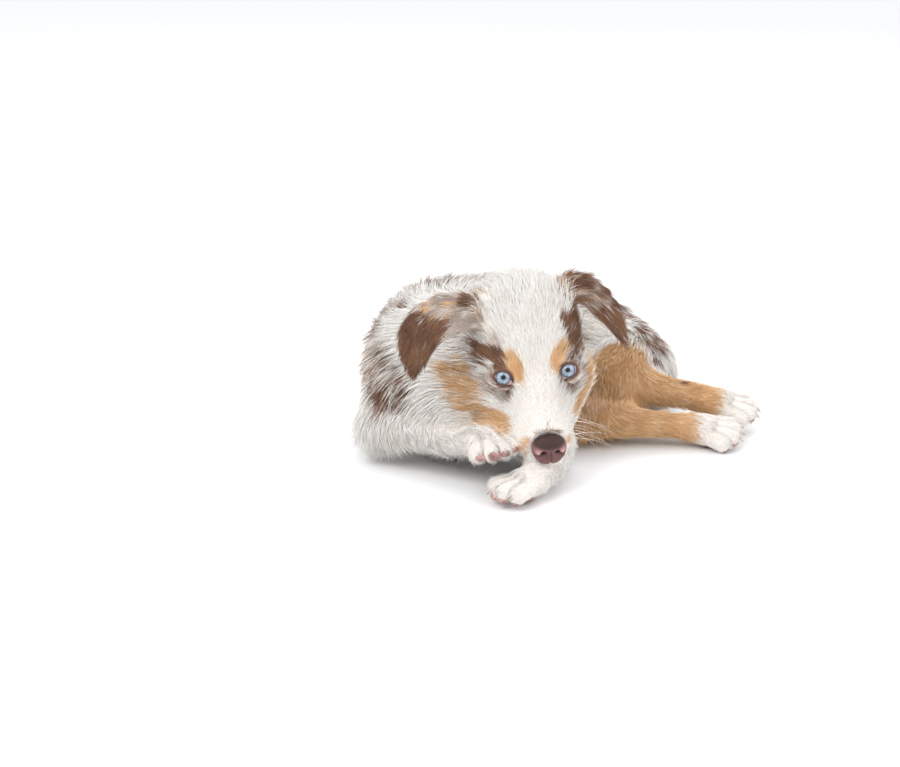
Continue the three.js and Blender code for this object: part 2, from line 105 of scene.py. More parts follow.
# Where each stretch of the body runs, which way its hair lies, and what its coat is like.
# from, to, radius, coat depth, hair length, hair width, lift in degrees, hairs per square cm
stretches = {
    "skull": (headPoint(-12, 0, 8), headPoint(-80, 0, 2), 0.045, 0.0040, 0.0088, 0.00045, 20, 134),
    "muzzle": (headPoint(46, 0, -24), headPoint(4, 0, -20), 0.023, 0.0015, 0.0042, 0.00036, 18, 213),
    "chin": (headPoint(40, 0, -40), headPoint(-20, 0, -42), 0.013, 0.002, 0.006, 0.00043, 20, 101),
    "cheekRight": (headPoint(10, -30, -34), headPoint(-42, -50, -38), 0.024, 0.004, 0.015, 0.00056, 20, 84),
    "cheekLeft": (headPoint(10, 30, -34), headPoint(-42, 50, -38), 0.024, 0.004, 0.015, 0.00056, 20, 84),
    "earRight": (None, None, 0.012, 0.0016, 0.010, 0.00050, 12, 106),
    "earLeft": (None, None, 0.011, 0.0016, 0.010, 0.00050, 12, 106),
    "neck": ((-0.038, -0.058, 0.124), (-0.111, -0.008, 0.075), 0.05, 0.010, 0.029, 0.00070, 23, 53),
    "breast": ((-0.070, -0.075, 0.070), (-0.115, -0.045, 0.020), 0.045, 0.008, 0.024, 0.00068, 20, 53),
    "shoulders": ((-0.111, -0.008, 0.066), (-0.100, 0.050, 0.065), 0.06, 0.010, 0.027, 0.00072, 21, 40),
    "ribs": ((-0.100, 0.050, 0.065), (-0.058, 0.100, 0.062), 0.06, 0.009, 0.024, 0.00076, 20, 34),
    "flank": ((-0.058, 0.100, 0.062), (0.000, 0.120, 0.057), 0.058, 0.009, 0.023, 0.00076, 20, 34),
    "croup": ((0.000, 0.120, 0.057), (0.040, 0.112, 0.046), 0.05, 0.009, 0.022, 0.00072, 20, 39),
    "rump": ((0.040, 0.112, 0.046), (0.082, 0.090, 0.036), 0.04, 0.008, 0.022, 0.00068, 22, 50),
    "tail": ((0.082, 0.106, 0.030), (0.102, 0.166, 0.012), 0.015, 0.006, 0.025, 0.00068, 22, 74),
    "upperArmRight": ((-0.128, -0.028, 0.076), (-0.154, -0.054, 0.032), 0.03, 0.007, 0.022, 0.00068, 20, 53),
    "forearmRight": ((-0.154, -0.054, 0.032), (-0.084, -0.110, 0.036), 0.018, 0.003, 0.011, 0.00059, 18, 63),
    "pawRight": ((-0.078, -0.118, 0.040), (-0.055, -0.158, 0.040), 0.013, 0.0018, 0.0050, 0.00040, 16, 126),
    "upperArmLeft": ((-0.062, -0.036, 0.056), (-0.014, -0.076, 0.023), 0.03, 0.005, 0.016, 0.00061, 20, 40),
    "forearmLeft": ((-0.014, -0.076, 0.023), (-0.016, -0.134, 0.017), 0.018, 0.003, 0.010, 0.00059, 18, 63),
    "pawLeft": ((-0.022, -0.145, 0.016), (-0.062, -0.169, 0.012), 0.013, 0.0018, 0.0052, 0.00040, 16, 116),
    "thighLeft": ((0.066, 0.076, 0.050), (0.038, 0.016, 0.046), 0.03, 0.005, 0.018, 0.00061, 20, 56),
    "shankLeft": ((0.038, 0.016, 0.046), (0.116, 0.032, 0.032), 0.018, 0.003, 0.012, 0.00059, 17, 61),
    "hindPawLeft": ((0.120, 0.032, 0.030), (0.176, 0.024, 0.018), 0.013, 0.0018, 0.006, 0.00043, 16, 100),
    "thighRight": ((0.056, 0.064, 0.032), (0.016, -0.010, 0.022), 0.03, 0.005, 0.016, 0.00061, 19, 50),
    "shankRight": ((0.016, -0.010, 0.022), (0.092, -0.012, 0.019), 0.018, 0.003, 0.012, 0.00059, 17, 61),
    "hindPawRight": (
        (0.098, -0.012, 0.018),
        (0.155, -0.024, 0.0125),
        *(0.013, 0.0018, 0.006, 0.00043, 16, 100),
    ),
}


# A point of the face as it is seen from just above the front, in millimetres.
def seenPoint(across, up, near):
    return headPoint(-0.8 * up + 0.6 * near, across, 0.6 * up + 0.8 * near)


earLines = {
    "earRight": [seenPoint(-52, 57, 0), seenPoint(-80, 53, 5), seenPoint(-94, 36, 7), seenPoint(-98, 12, 6)],
    "earLeft": [seenPoint(34, 68, -2), seenPoint(52, 58, 4), seenPoint(65, 40, 7), seenPoint(73, 18, 6)],
}
stretchNames = list(stretches)
column = {name: i for i, name in enumerate(stretchNames)}
segments = []  # from, to, radius and the row of numbers it belongs to
for row, name in enumerate(stretchNames):
    start, end, radius = stretches[name][:3]
    line = earLines.get(name, [start, end])
    for a, b in zip(line[:-1], line[1:]):
        segments.append((np.array(a), np.array(b), radius, row))
rowNumbers = np.array([stretches[name][3:] for name in stretchNames], float)
fallOff = 0.0065  # how softly one stretch of the coat turns into the next


# For each point: the weight of every stretch, its blended numbers and the lie of the hair.
def coatAt(points, normals):
    weights = np.zeros((len(points), len(stretchNames)))
    lie = np.zeros((len(points), 3))
    for a, b, radius, row in segments:
        along = b - a
        t = np.clip((points - a) @ along / (along @ along), 0, 1)
        d = np.linalg.norm(points - a - t[:, None] * along, axis=1) - radius
        w = np.exp(-np.maximum(d, -0.004) / fallOff)
        weights[:, row] = np.maximum(weights[:, row], w)
        lie += (w ** 1.5)[:, None] * unit(along)
    weights /= weights.sum(axis=1, keepdims=True) + 1e-12
    numbers = weights @ rowNumbers
    onHead = weights[:, :5].sum(axis=1)
    onEar = weights[:, 5:7].sum(axis=1)
    fromNose = unit(points - headPoint(54, 0, -20)) - 0.15 * headForward
    down = np.array([0, 0, -1.0])
    hanging = np.clip(1 - onHead - onEar, 0, 1)[:, None] * 0.55 * np.clip(numbers[:, 1:2] / 0.024, 0, 1)
    lie = unit(lie) * (1 - onHead[:, None]) + fromNose * onHead[:, None] * 1.2 + hanging * down
    lie -= (lie * normals).sum(axis=1, keepdims=True) * normals
    return weights, numbers, unit(lie)


# Where each eye looks out of the head, and its corner's angle and reach in millimetres.
eyes = {
    "right": {"side": -1, "opening": (0.60, -0.21, 0.77), "corner": -44, "cornerReach": 2.8},
    "left": {"side": 1, "opening": (0.62, -0.08, 0.78), "corner": -50, "cornerReach": 2.4},
}
cameraPlace = np.array((-0.095, -1.692, 0.569))
for side, eye in eyes.items():
    eye["middle"] = eyeMiddles[side]
    eye["out"] = unit(np.array(eye["opening"]) @ headAxes)
    inner = -eye["side"] * headLeft
    eye["inner"] = unit(inner - (inner @ eye["out"]) * eye["out"])
    up = headUp - (headUp @ eye["out"]) * eye["out"]
    eye["up"] = unit(up - (up @ eye["inner"]) * eye["inner"])
    eye["gaze"] = unit(cameraPlace - eye["middle"])

lids = {
    "halfWide": 0.0066,
    "halfTall": 0.0060,
    "tilt": -28,
    "outerReach": 0.3,
    "droop": 0.12,  # how far the upper lid hangs over the eye
    "thick": 0.0012,
}


# The opening between the lids, as a distance from its middle for each angle.
def openingReach(eye, angle):
    turned = angle - math.radians(lids["tilt"])
    ellipse = 1 / np.hypot(np.cos(turned) / lids["halfWide"], np.sin(turned) / lids["halfTall"])
    corner = math.radians(eye["corner"])
    near = np.exp(-((np.angle(np.exp(1j * (angle - corner))) / 0.36) ** 2))
    far = np.exp(-((np.angle(np.exp(1j * (angle - math.radians(150)))) / 0.40) ** 2))
    ellipse = ellipse * (1 - lids["droop"] * np.clip(np.sin(angle + 0.2), 0, 1) ** 1.5)
    return ellipse + near * eye["cornerReach"] / 1000 + far * lids["outerReach"] / 1000


# How far out of the opening each point is, as seen from the eyeball's middle: 1 on the lids' edge,
# and large behind the eye. It doesn't change when a point moves straight away from that middle.
def openingShare(eye, points):
    way = unit(points - eye["middle"])
    x, y, z = way @ eye["inner"], way @ eye["up"], way @ eye["out"]
    edge = np.arcsin(np.clip(openingReach(eye, np.arctan2(y, x)) / pose["eyeRadius"], 0, 0.985))
    share = np.arccos(np.clip(z, -1, 1)) / edge
    near = np.linalg.norm(points - eye["middle"], axis=1) < 0.03
    return np.where(near, share, 9.0)


# How far past the lids' edge each point lies, seen from in front of the eye. Large behind the eye.
def lidDistance(eye, points):
    rel = points - eye["middle"]
    x, y, z = rel @ eye["inner"], rel @ eye["up"], rel @ eye["out"]
    beyond = np.hypot(x, y) - openingReach(eye, np.arctan2(y, x))
    return np.where((z > -0.003) & (z < 0.03), beyond, 1.0)


# The feet: middle of the paw, front of the toes, and the way the paw's back faces.
feet = {
    "foreRight": {"paw": (-0.065, -0.128, 0.043), "toes": (-0.0545, -0.158, 0.040), "up": (0, -0.42, 1)},
    "foreLeft": {"paw": (-0.0335, -0.152, 0.015), "toes": (-0.0615, -0.169, 0.0125), "up": (0, 0, 1)},
    "hindLeft": {"paw": (0.1425, 0.030, 0.024), "toes": (0.1765, 0.024, 0.018), "up": (0, -0.3, 1)},
    "hindRight": {"paw": (0.1245, -0.016, 0.015), "toes": (0.1555, -0.024, 0.0125), "up": (0, -0.3, 1)},
}
toeShape = {"radius": 0.0088, "spacing": 0.0098, "coat": 0.0018}
toes = []
for name, foot in feet.items():
    paw, end = np.array(foot["paw"]), np.array(foot["toes"])
    forward = unit(end - paw)
    left = unit(np.cross(np.array(foot["up"], float), forward))
    up = np.cross(forward, left)
    reach = np.linalg.norm(end - paw) - toeShape["radius"]
    foot["axes"] = np.array([forward, left, up])
    for place in (-1.5, -0.5, 0.5, 1.5):
        outer = 1 if abs(place) > 1 else 0
        tip = paw + forward * (reach - 0.006 * outer)
        tip = tip + left * place * toeShape["spacing"] - up * 0.0015 * outer
        root = paw + forward * 0.002 + left * place * toeShape["spacing"] * 0.62 + up * 0.0005
        toes.append({"foot": name, "root": root, "tip": tip, "place": place})

# Strokes of colour on the head: points in head millimetres, then radius and strength.
headStrokes = {
    "tan": [
        ([(-3, -22, 15), (2, -17, 11), (7, -17, 5)], 6.2, 1.0),
        ([(-6, 22, 17), (-3, 18, 15), (3, 16, 9)], 5.6, 1.0),
        ([(-30, -57, -18), (-19, -54, -22), (-9, -52, -26), (1, -49, -31)], 13.5, 1.15),
        ([(1, -49, -31), (9, -44, -34), (19, -37, -33), (28, -31, -27)], 9, 1.1),
        ([(9, -44, -44), (24, -34, -42)], 8, 0.8),
        ([(-22, 54, -18), (-8, 50, -20), (4, 44, -25), (13, 38, -27), (24, 32, -26)], 6.5, 0.9),
        ([(55, -15, -19), (53, -19, -29)], 4.6, 0.8),
        ([(52, 19, -23)], 4.4, 0.8),
        ([(-78, -38, 24), (-58, -36, 34)], 6, 0.8),
        ([(-64, 36, 42), (-52, 32, 40)], 6, 0.8),
        ([(-19, -40, 15), (-12, -33, 17)], 3, 0.5),
    ],
    "brown": [
        ([(-28, -46, -1), (-21, -42, 3), (-14, -37, 8), (-8, -30, 12)], 6.8, 1.0),
        ([(-24, -46, -4), (-17, -42, -2)], 4.5, 0.9),
        ([(-30, -54, -18), (-36, -60, -14)], 5.0, 0.8),
        ([(-24, 30, 28), (-17, 32, 18), (-14, 34, 12)], 6.0, 0.95),
        ([(-26, 38, 20), (-22, 40, 10), (-24, 46, -2)], 9.5, 0.95),
        ([(-32, 44, 22), (-28, 46, 8)], 8, 0.8),
        ([(-13, 28, 13), (-7, 30, 8)], 4.5, 0.7),
        ([(6, -20, -9), (9, -18, -13)], 3.4, 0.8),
        ([(6, 20, -9), (9, 20, -13)], 3.2, 0.75),
        ([(-15, 37, 4), (-10, 37, -2)], 5.0, 0.95),
        ([(47, 1.5, -7)], 1.6, 1.0),
        ([(53, -8, -12), (55, 0, -12), (54, 9, -14)], 2.6, 0.85),
        ([(-13, -40, -4), (-8, -36, -4)], 2.2, 0.85),
        ([(12, -27, -10), (15, -24, -12)], 1.9, 0.75),
        ([(2, -34, -13), (-4, -38, -14)], 2.2, 0.6),
        ([(10, 24, -10), (8, 30, -14)], 3.0, 0.75),
        ([(2, 37, -9), (5, 34, -14)], 2.2, 0.6),
        ([(-66, -40, 30), (-52, -40, 34)], 4.5, 0.9),
        ([(-58, 40, 44), (-46, 42, 38), (-38, 42, 30)], 7.5, 0.95),
    ],
    "grey": [
        ([(-18, -48, -13), (-7, -42, -13), (3, -36, -15), (13, -27, -12)], 6.5, 0.75),
        ([(-38, -58, -12), (-42, -54, -2), (-40, -50, 12), (-36, -46, 26)], 11, 0.85),
        ([(-24, -38, 18), (-16, -30, 22)], 6, 0.5),
        ([(11, 20, -5), (11, 27, -13), (5, 35, -16), (-2, 41, -12)], 5.6, 0.7),
        ([(-62, -40, 22), (-80, -44, 6)], 13, 0.55),
        ([(-46, 46, 22), (-60, 50, 8)], 11, 0.6),
    ],
}
# The same on the body, in millimetres of the whole part.
bodyStrokes = {
    "tan": [
        ([(40, 10, 70), (60, 8, 64), (60, 30, 70)], 26, 1.0),
        ([(40, -6, 44), (70, 10, 52), (96, 18, 38), (124, 22, 34)], 23, 1.0),
        ([(20, -22, 20), (60, -22, 20), (104, -22, 20)], 25, 1.0),
        ([(-104, -112, 44), (-96, -108, 46)], 7, 0.35),
        ([(-156, -20, 102), (-148, -48, 90), (-140, -64, 78)], 15, 0.45),
    ],
    "brown": [
        ([(-160, 0, 112), (-158, -30, 98), (-150, -50, 86), (-138, -66, 74)], 20, 0.85),
        ([(-150, 8, 116)], 14, 0.55),
        ([(30, -8, 62), (38, -4, 46)], 15, 0.3),
        ([(40, 110, 98), (66, 96, 88), (84, 72, 76)], 16, 0.7),
        ([(90, 56, 62)], 4.5, 0.85),
        ([(109, 26, 50)], 4.5, 0.9),
    ],
    "grey": [
        ([(-150, 2, 116), (-158, 20, 100), (-160, -30, 96)], 24, 0.85),
        ([(-140, 60, 90), (-110, 110, 70), (-40, 160, 60), (40, 160, 60)], 44, 0.85),
        ([(-100, 60, 126), (-40, 100, 120)], 30, 0.5),
        ([(30, 110, 96), (70, 96, 86)], 24, 0.7),
        ([(100, 150, 20)], 34, 0.8),
    ],
    "pink": [([(22, -24, 42), (30, -20, 44)], 12, 0.4)],
}


def segmentDistance(points, a, b):
    along = b - a
    t = np.clip((points - a) @ along / max(along @ along, 1e-12), 0, 1)
    return np.linalg.norm(points - a - t[:, None] * along, axis=1), t


# The distance to a stroke is measured along the skin, so a stroke may lie a little above it.
def strokeSum(pointsMm, normals, strokes):
    total = np.zeros(len(pointsMm))
    for line, radius, strength in strokes:
        line = np.array(line, float)
        nearest = np.full(len(pointsMm), 1e3)
        for a, b in zip(line, line[1:] if len(line) > 1 else line):
            along = b - a
            t = np.clip((pointsMm - a) @ along / max(along @ along, 1e-12), 0, 1)
            rel = pointsMm - a - t[:, None] * along
            off = (rel * normals).sum(axis=1)
            d = np.sqrt(np.maximum((rel * rel).sum(axis=1) - 0.9 * off * off, 0))
            nearest = np.minimum(nearest, d)
        total = np.maximum(total, strength * (1 - smooth(0.78, 1.3, nearest / radius)))
    return total


# How far along an ear each point lies: 0 at the root and 1 at the tip.
def alongEar(points, name):
    line = [np.array(q) for q in earLines[name]]
    found = [segmentDistance(points, a, b) for a, b in zip(line[:-1], line[1:])]
    nearest = np.argmin([d for d, t in found], axis=0)
    share = np.choose(nearest, [t for d, t in found])
    return (nearest + share) / len(found)


# The amounts of tan, brown, grey and pink in the coat at each root.
def markings(points, normals, weights):
    inHead = toHeadMm(points)
    turned = normals @ headAxes.T
    whole = points * 1000
    wobble = (softNoise(points, 0.011, 3) - 0.5) * 5 + (softNoise(points, 0.004, 4) - 0.5) * 2.2
    shift = np.stack([wobble, (softNoise(points, 0.012, 5) - 0.5) * 7, wobble * 0.6], axis=1)
    earRight = np.clip(weights[:, column["earRight"]] * 1.5, 0, 1)
    earLeft = np.clip(weights[:, column["earLeft"]] * 1.5, 0, 1)
    onEar = np.clip(earRight + earLeft, 0, 1)
    onHead = np.clip(weights[:, :5].sum(axis=1) * 1.4, 0, 1)
    onBody = np.clip(1 - onHead - onEar, 0, 1)
    found = {}
    for colour in ("tan", "brown", "grey"):
        found[colour] = (1 - onBody) * strokeSum(inHead + shift * 0.5, turned, headStrokes[colour])
        found[colour] += onBody * strokeSum(whole + shift * 1.5, normals, bodyStrokes[colour])
    found["pink"] = onBody * strokeSum(whole + shift, normals, bodyStrokes["pink"])
    for eye in eyes.values():
        ring = lidDistance(eye, points + 0.0004 * shift / 5)
        found["brown"] = np.maximum(found["brown"], 0.85 * (1 - smooth(0.0014, 0.0036, ring)))
        found["grey"] = np.maximum(found["grey"], 0.7 * (1 - smooth(0.003, 0.0085, ring)))

    streak = 0.5 * softNoise(points, 0.0055, 8) + 0.5 * softNoise(points, 0.013, 9)
    t = np.where(earRight > earLeft, alongEar(points, "earRight"), alongEar(points, "earLeft"))
    darkShare = np.where(earRight > earLeft, smooth(0.30, 0.52, t), 0.35 + 0.5 * smooth(0.1, 0.5, t))
    earBrown = onEar * smooth(0.56 - 0.42 * darkShare, 0.70 - 0.42 * darkShare, streak)
    earTan = onEar * smooth(0.54, 0.68, softNoise(points, 0.007, 12)) * (0.75 - 0.35 * darkShare)
    found["brown"] = np.maximum(found["brown"] * (1 - onEar * 0.4), earBrown)
    found["grey"] = np.maximum(found["grey"], onEar * 0.85)
    found["tan"] = np.maximum(found["tan"], earTan * (1 - earBrown * 0.6))

    # Merle: the grey breaks up into pale and dark hair.
    marbled = 0.6 * softNoise(points, 0.017, 20) + 0.4 * softNoise(points, 0.006, 21)
    dark = onBody * found["grey"] * smooth(0.54, 0.64, marbled)
    found["grey"] = found["grey"] * np.where(onBody > 0.5, 0.2 + 0.8 * smooth(0.34, 0.5, marbled), 1.0)
    broken = 0.45 + 0.55 * smooth(0.30, 0.46, marbled)
    found["brown"] = np.maximum(found["brown"] * np.where(onBody > 0.5, broken, 1.0), dark * 0.9)

    # Paws and the forelegs are white, whatever lies near them.
    pale = ("pawRight", "pawLeft", "forearmRight", "forearmLeft", "upperArmLeft")
    white = weights[:, [column[name] for name in pale]].sum(axis=1)
    white = white + smooth(0.134, 0.148, points[:, 0]) * (points[:, 1] > 0.004)
    white = white + smooth(0.108, 0.122, points[:, 0]) * (points[:, 1] <= 0.004)
    for colour in ("tan", "brown", "grey"):
        found[colour] = found[colour] * (1 - np.clip(white, 0, 1) * 0.92)
    return found


def link(name, mesh, material=None, smoothFaces=True):
    piece = bpy.data.objects.new(name, mesh)
    bpy.context.scene.collection.objects.link(piece)
    if material:
        mesh.materials.append(material)
    if smoothFaces:
        mesh.polygons.foreach_set("use_smooth", np.ones(len(mesh.polygons), bool))
    return piece


# Turns a finished bmesh into a new mesh.
def meshOf(bm, name):
    mesh = bpy.data.meshes.new(name)
    bm.to_mesh(mesh)
    bm.free()
    return mesh


# Cuts the edges that the test picks in two, and leaves no face of more than four corners.
def refine(mesh, rounds):
    bm = bmesh.new()
    bm.from_mesh(mesh)
    for isNear in rounds:
        edges = [e for e in bm.edges if isNear((e.verts[0].co + e.verts[1].co) / 2)]
        bmesh.ops.subdivide_edges(bm, edges=edges, cuts=1, use_grid_fill=True)
    bmesh.ops.triangulate(bm, faces=[f for f in bm.faces if len(f.verts) > 4])
    bm.to_mesh(mesh)
    bm.free()


def placesOf(mesh):
    flat = np.empty(len(mesh.vertices) * 3, np.float32)
    mesh.vertices.foreach_get("co", flat)
    return flat.reshape(-1, 3).astype(float)


def normalsOf(mesh):
    flat = np.empty(len(mesh.vertices) * 3, np.float32)
    mesh.vertex_normals.foreach_get("vector", flat)
    return flat.reshape(-1, 3).astype(float)


def putPlaces(mesh, points):
    mesh.vertices.foreach_set("co", points.astype(np.float32).ravel())
    mesh.update()


def storeValues(mesh, name, values):
    layer = mesh.attributes.new(name, "FLOAT", "POINT")
    layer.data.foreach_set("value", np.asarray(values, np.float32))


# A mesh from arrays of corners, with three or four corners to a face.
def meshFromArrays(name, points, triangles, quads):
    mesh = bpy.data.meshes.new(name)
    corners = np.concatenate([quads.ravel(), triangles.ravel()]).astype(np.int32)
    starts = np.concatenate([np.arange(len(quads)) * 4, len(quads) * 4 + np.arange(len(triangles)) * 3])
    mesh.vertices.add(len(points))
    mesh.vertices.foreach_set("co", points.astype(np.float32).ravel())
    mesh.loops.add(len(corners))
    mesh.loops.foreach_set("vertex_index", corners)
    mesh.polygons.add(len(starts))
    mesh.polygons.foreach_set("loop_start", starts.astype(np.int32))
    mesh.update(calc_edges=True)
    return mesh


def applyModifiers(piece):
    seen = piece.evaluated_get(bpy.context.evaluated_depsgraph_get())
    made = bpy.data.meshes.new_from_object(seen)
    piece.modifiers.clear()
    old = piece.data
    piece.data = made
    bpy.data.meshes.remove(old)


def voxelRemesh(piece, size):
    remesh = piece.modifiers.new("remesh", "REMESH")
    remesh.mode = "VOXEL"
    remesh.voxel_size = size
    remesh.use_smooth_shade = True
    applyModifiers(piece)


# Moves each point towards the middle of its neighbours, as far as its own amount allows.
def relax(mesh, times, amounts):
    edges = np.empty(len(mesh.edges) * 2, np.int32)
    mesh.edges.foreach_get("vertices", edges)
    edges = edges.reshape(-1, 2)
    points = placesOf(mesh)
    count = len(points)
    degree = np.bincount(edges.ravel(), minlength=count)[:, None]
    for _ in range(times):
        total = np.empty_like(points)
        for axis in range(3):
            p = points[:, axis]
            total[:, axis] = np.bincount(edges[:, 0], p[edges[:, 1]], count)
            total[:, axis] += np.bincount(edges[:, 1], p[edges[:, 0]], count)
        points += (total / degree - points) * amounts[:, None]
    putPlaces(mesh, points)


# The skin: voxel sizes, and how often it is relaxed before and after it is drawn in.
skinShape = {
    "firstVoxel": 0.003,
    "lastVoxel": 0.0022,
    "relax": 14,
    "lastRelax": 5,
    "fineAroundEyes": (0.017, 0.0135),
    "fineAroundToes": 0.0135,
    "aboveFloor": 0.0006,
}
easeOf = {"thin": 0.06, "face": 0.5, "body": 0.6}  # how much each kind of place is smoothed
separate = {"nose", "eye_left", "eye_right"}
fleshNodes = [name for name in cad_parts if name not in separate]


def easeAt(points, normals):
    weights = coatAt(points, normals)[0]
    thin = weights[:, [column[n] for n in stretchNames if "ear" == n[:3] or "aw" in n]].sum(axis=1)
    face = weights[:, :5].sum(axis=1)
    body = np.clip(1 - thin - face, 0, 1)
    return thin * easeOf["thin"] + face * easeOf["face"] + body * easeOf["body"]


def makeSkin():
    bm = bmesh.new()
    for name in fleshNodes + ["eye_left", "eye_right"]:
        bm.from_mesh(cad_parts[name].data)
    bmesh.ops.remove_doubles(bm, verts=bm.verts, dist=1e-6)
    skin = link("skin", meshOf(bm, "skin"))
    voxelRemesh(skin, skinShape["firstVoxel"])
    points, normals = placesOf(skin.data), normalsOf(skin.data)
    relax(skin.data, skinShape["relax"], easeAt(points, normals))
    points, normals = placesOf(skin.data), normalsOf(skin.data)
    numbers = coatAt(points, normals)[1]
    points -= normals * numbers[:, 0:1]
    points[:, 2] = np.maximum(points[:, 2], skinShape["aboveFloor"])
    putPlaces(skin.data, points)
    voxelRemesh(skin, skinShape["lastVoxel"])
    points, normals = placesOf(skin.data), normalsOf(skin.data)
    relax(skin.data, skinShape["lastRelax"], easeAt(points, normals))
    return skin


def refineFace(skin):
    middles = [Vector(eye["middle"] + eye["out"] * 0.006) for eye in eyes.values()]

    def within(reach):
        return lambda place: any((place - m).length < reach for m in middles)

    refine(skin.data, [within(reach) for reach in skinShape["fineAroundEyes"]])


# The height of the lip line in the head's millimetres, which rises towards the corner of the mouth.
def lipHeight(forward):
    return -42 + 0.0012 * (56 - forward) ** 2


# Lids drawn over the eyeballs, a lip line and the groove under the nose.
def sculptFace(skin):
    points = placesOf(skin.data)
    radius = pose["eyeRadius"]
    for eye in eyes.values():
        rel = points - eye["middle"]
        away = np.linalg.norm(rel, axis=1)
        share = openingShare(eye, points)
        beyond = lidDistance(eye, points)
        close = (beyond < 0.007) & (away < 0.02)
        wanted = np.where(share < 1.0, radius - 0.0016, radius + lids["thick"])
        settle = 1 - smooth(0.0012, 0.0055, beyond)
        moved = np.maximum(away + (wanted - away) * settle, np.where(share > 1.0, radius + 0.0004, 0))
        points[close] = eye["middle"] + (rel * (moved / np.maximum(away, 1e-6))[:, None])[close]
    head = toHeadMm(points)
    f, l, u = head.T
    onFace = coatAt(points, normalsOf(skin.data))[0][:, 1:5].sum(axis=1)
    onLip = np.exp(-(((u - lipHeight(f)) / 1.5) ** 2)) * smooth(2, 12, f) * (np.abs(l) > 2) * onFace
    groove = np.exp(-((l / 1.1) ** 2)) * smooth(47, 52, f) * (1 - smooth(-33, -29, u))
    inward = unit(headPoint(14, 0, -30) - points)
    points += inward * (onLip * 0.0012 + groove * 0.001)[:, None]
    putPlaces(skin.data, points)


# Toes stand clear of each other, with a crease between each two.
def sculptToes(skin):
    tips = KDTree(len(toes))
    for i, toe in enumerate(toes):
        tips.insert(Vector(toe["tip"]), i)
    tips.balance()
    refine(skin.data, [lambda place: tips.find(place)[2] < skinShape["fineAroundToes"]])
    points = placesOf(skin.data)
    t, axis = nearestToes(points)[2:]
    way = points - axis
    away = np.linalg.norm(way, axis=1)
    wanted = toeShape["radius"] - toeShape["coat"]
    pull = smooth(0.05, 0.45, t) * (1 - smooth(0.004, 0.0075, np.abs(away - wanted)))
    points += way / np.maximum(away, 1e-6)[:, None] * ((wanted - away) * pull)[:, None]
    points[:, 2] = np.maximum(points[:, 2], skinShape["aboveFloor"])
    putPlaces(skin.data, points)


# For each point: the distance to the nearest and to the next toe's middle line, then how far
# along the nearest one it lies, and the place there.
def nearestToes(points):
    distances, shares = [], []
    for toe in toes:
        d, t = segmentDistance(points, toe["root"], toe["tip"])
        distances.append(d)
        shares.append(t)
    distances, shares = np.array(distances), np.array(shares)
    order = np.argsort(distances, axis=0)
    first, rows = order[0], np.arange(len(points))
    t = shares[first, rows]
    roots, tips = np.array([q["root"] for q in toes]), np.array([q["tip"] for q in toes])
    axis = roots[first] + (tips - roots)[first] * t[:, None]
    return distances[first, rows], distances[order[1], rows], t, axis


# The crease between two toes, from 0 to 1.
def creaseAt(points):
    nearest, second, t, _ = nearestToes(points)
    near = 1 - smooth(0.009, 0.012, nearest)
    return np.exp(-(((second - nearest) / 0.0016) ** 2)) * near * smooth(0.0, 0.3, t)


def unwrapSkin(skin):
    bpy.ops.object.select_all(action="DESELECT")
    skin.select_set(True)
    bpy.context.view_layer.objects.active = skin
    layer = skin.data.uv_layers.new(name="OFBake")
    skin.data.uv_layers.active = layer
    bpy.ops.object.mode_set(mode="EDIT")
    bpy.ops.mesh.select_all(action="SELECT")
    bpy.ops.uv.smart_project(angle_limit=math.radians(66), island_margin=0.002)
    bpy.ops.object.mode_set(mode="OBJECT")


skin = makeSkin()
refineFace(skin)
sculptFace(skin)
sculptToes(skin)
unwrapSkin(skin)
print("skin", len(skin.data.polygons), "faces")


# A short way to write a material's nodes.
class Nodes:
    def __init__(self, name):
        self.material = bpy.data.materials.new(name)
        self.material.use_nodes = True
        self.tree = self.material.node_tree
        self.shader = self.tree.nodes["Principled BSDF"]

    def add(self, kind, settings=None, **inputs):
        node = self.tree.nodes.new("ShaderNode" + kind)
        for key, value in (settings or {}).items():
            setattr(node, key, value)
        for key, value in inputs.items():
            self.feed(node.inputs[key.replace("_", " ")], value)
        return node

    def feed(self, socket, value):
        if isinstance(value, bpy.types.NodeSocket):
            self.tree.links.new(value, socket)
        else:
            socket.default_value = value

    def set(self, **inputs):
        for key, value in inputs.items():
            self.feed(self.shader.inputs[key.replace("_", " ")], value)

    def value(self, attribute):
        return self.add("Attribute", {"attribute_name": attribute}).outputs["Fac"]

    def blend(self, share, first, second, kind="MIX"):
        node = self.tree.nodes.new("ShaderNodeMix")
        node.data_type = "RGBA"
        node.blend_type = kind
        self.feed(node.inputs[0], share)
        self.feed(node.inputs[6], first)
        self.feed(node.inputs[7], second)
        return node.outputs[2]

    def math(self, operation, first, second=0.0):
        node = self.tree.nodes.new("ShaderNodeMath")
        node.operation = operation
        for socket, value in zip(node.inputs, (first, second)):
            self.feed(socket, value)
        return node.outputs[0]

    def ramp(self, share, stops):
        node = self.tree.nodes.new("ShaderNodeValToRGB")
        while len(node.color_ramp.elements) < len(stops):
            node.color_ramp.elements.new(0.5)
        for element, (place, colour) in zip(node.color_ramp.elements, stops):
            element.position = place
            element.color = colour
        self.feed(node.inputs[0], share)
        return node.outputs[0]

    def place(self):
        return self.add("TexCoord").outputs["Object"]

    def noise(self, scale, detail=3.0, vector=None):
        node = self.add("TexNoise", Scale=scale, Detail=detail)
        self.feed(node.inputs["Vector"], vector or self.place())
        return node.outputs[0]

    def bump(self, height, strength, distance):
        node = self.add("Bump", Strength=strength, Distance=distance)
        self.feed(node.inputs["Height"], height)
        self.set(Normal=node.outputs[0])


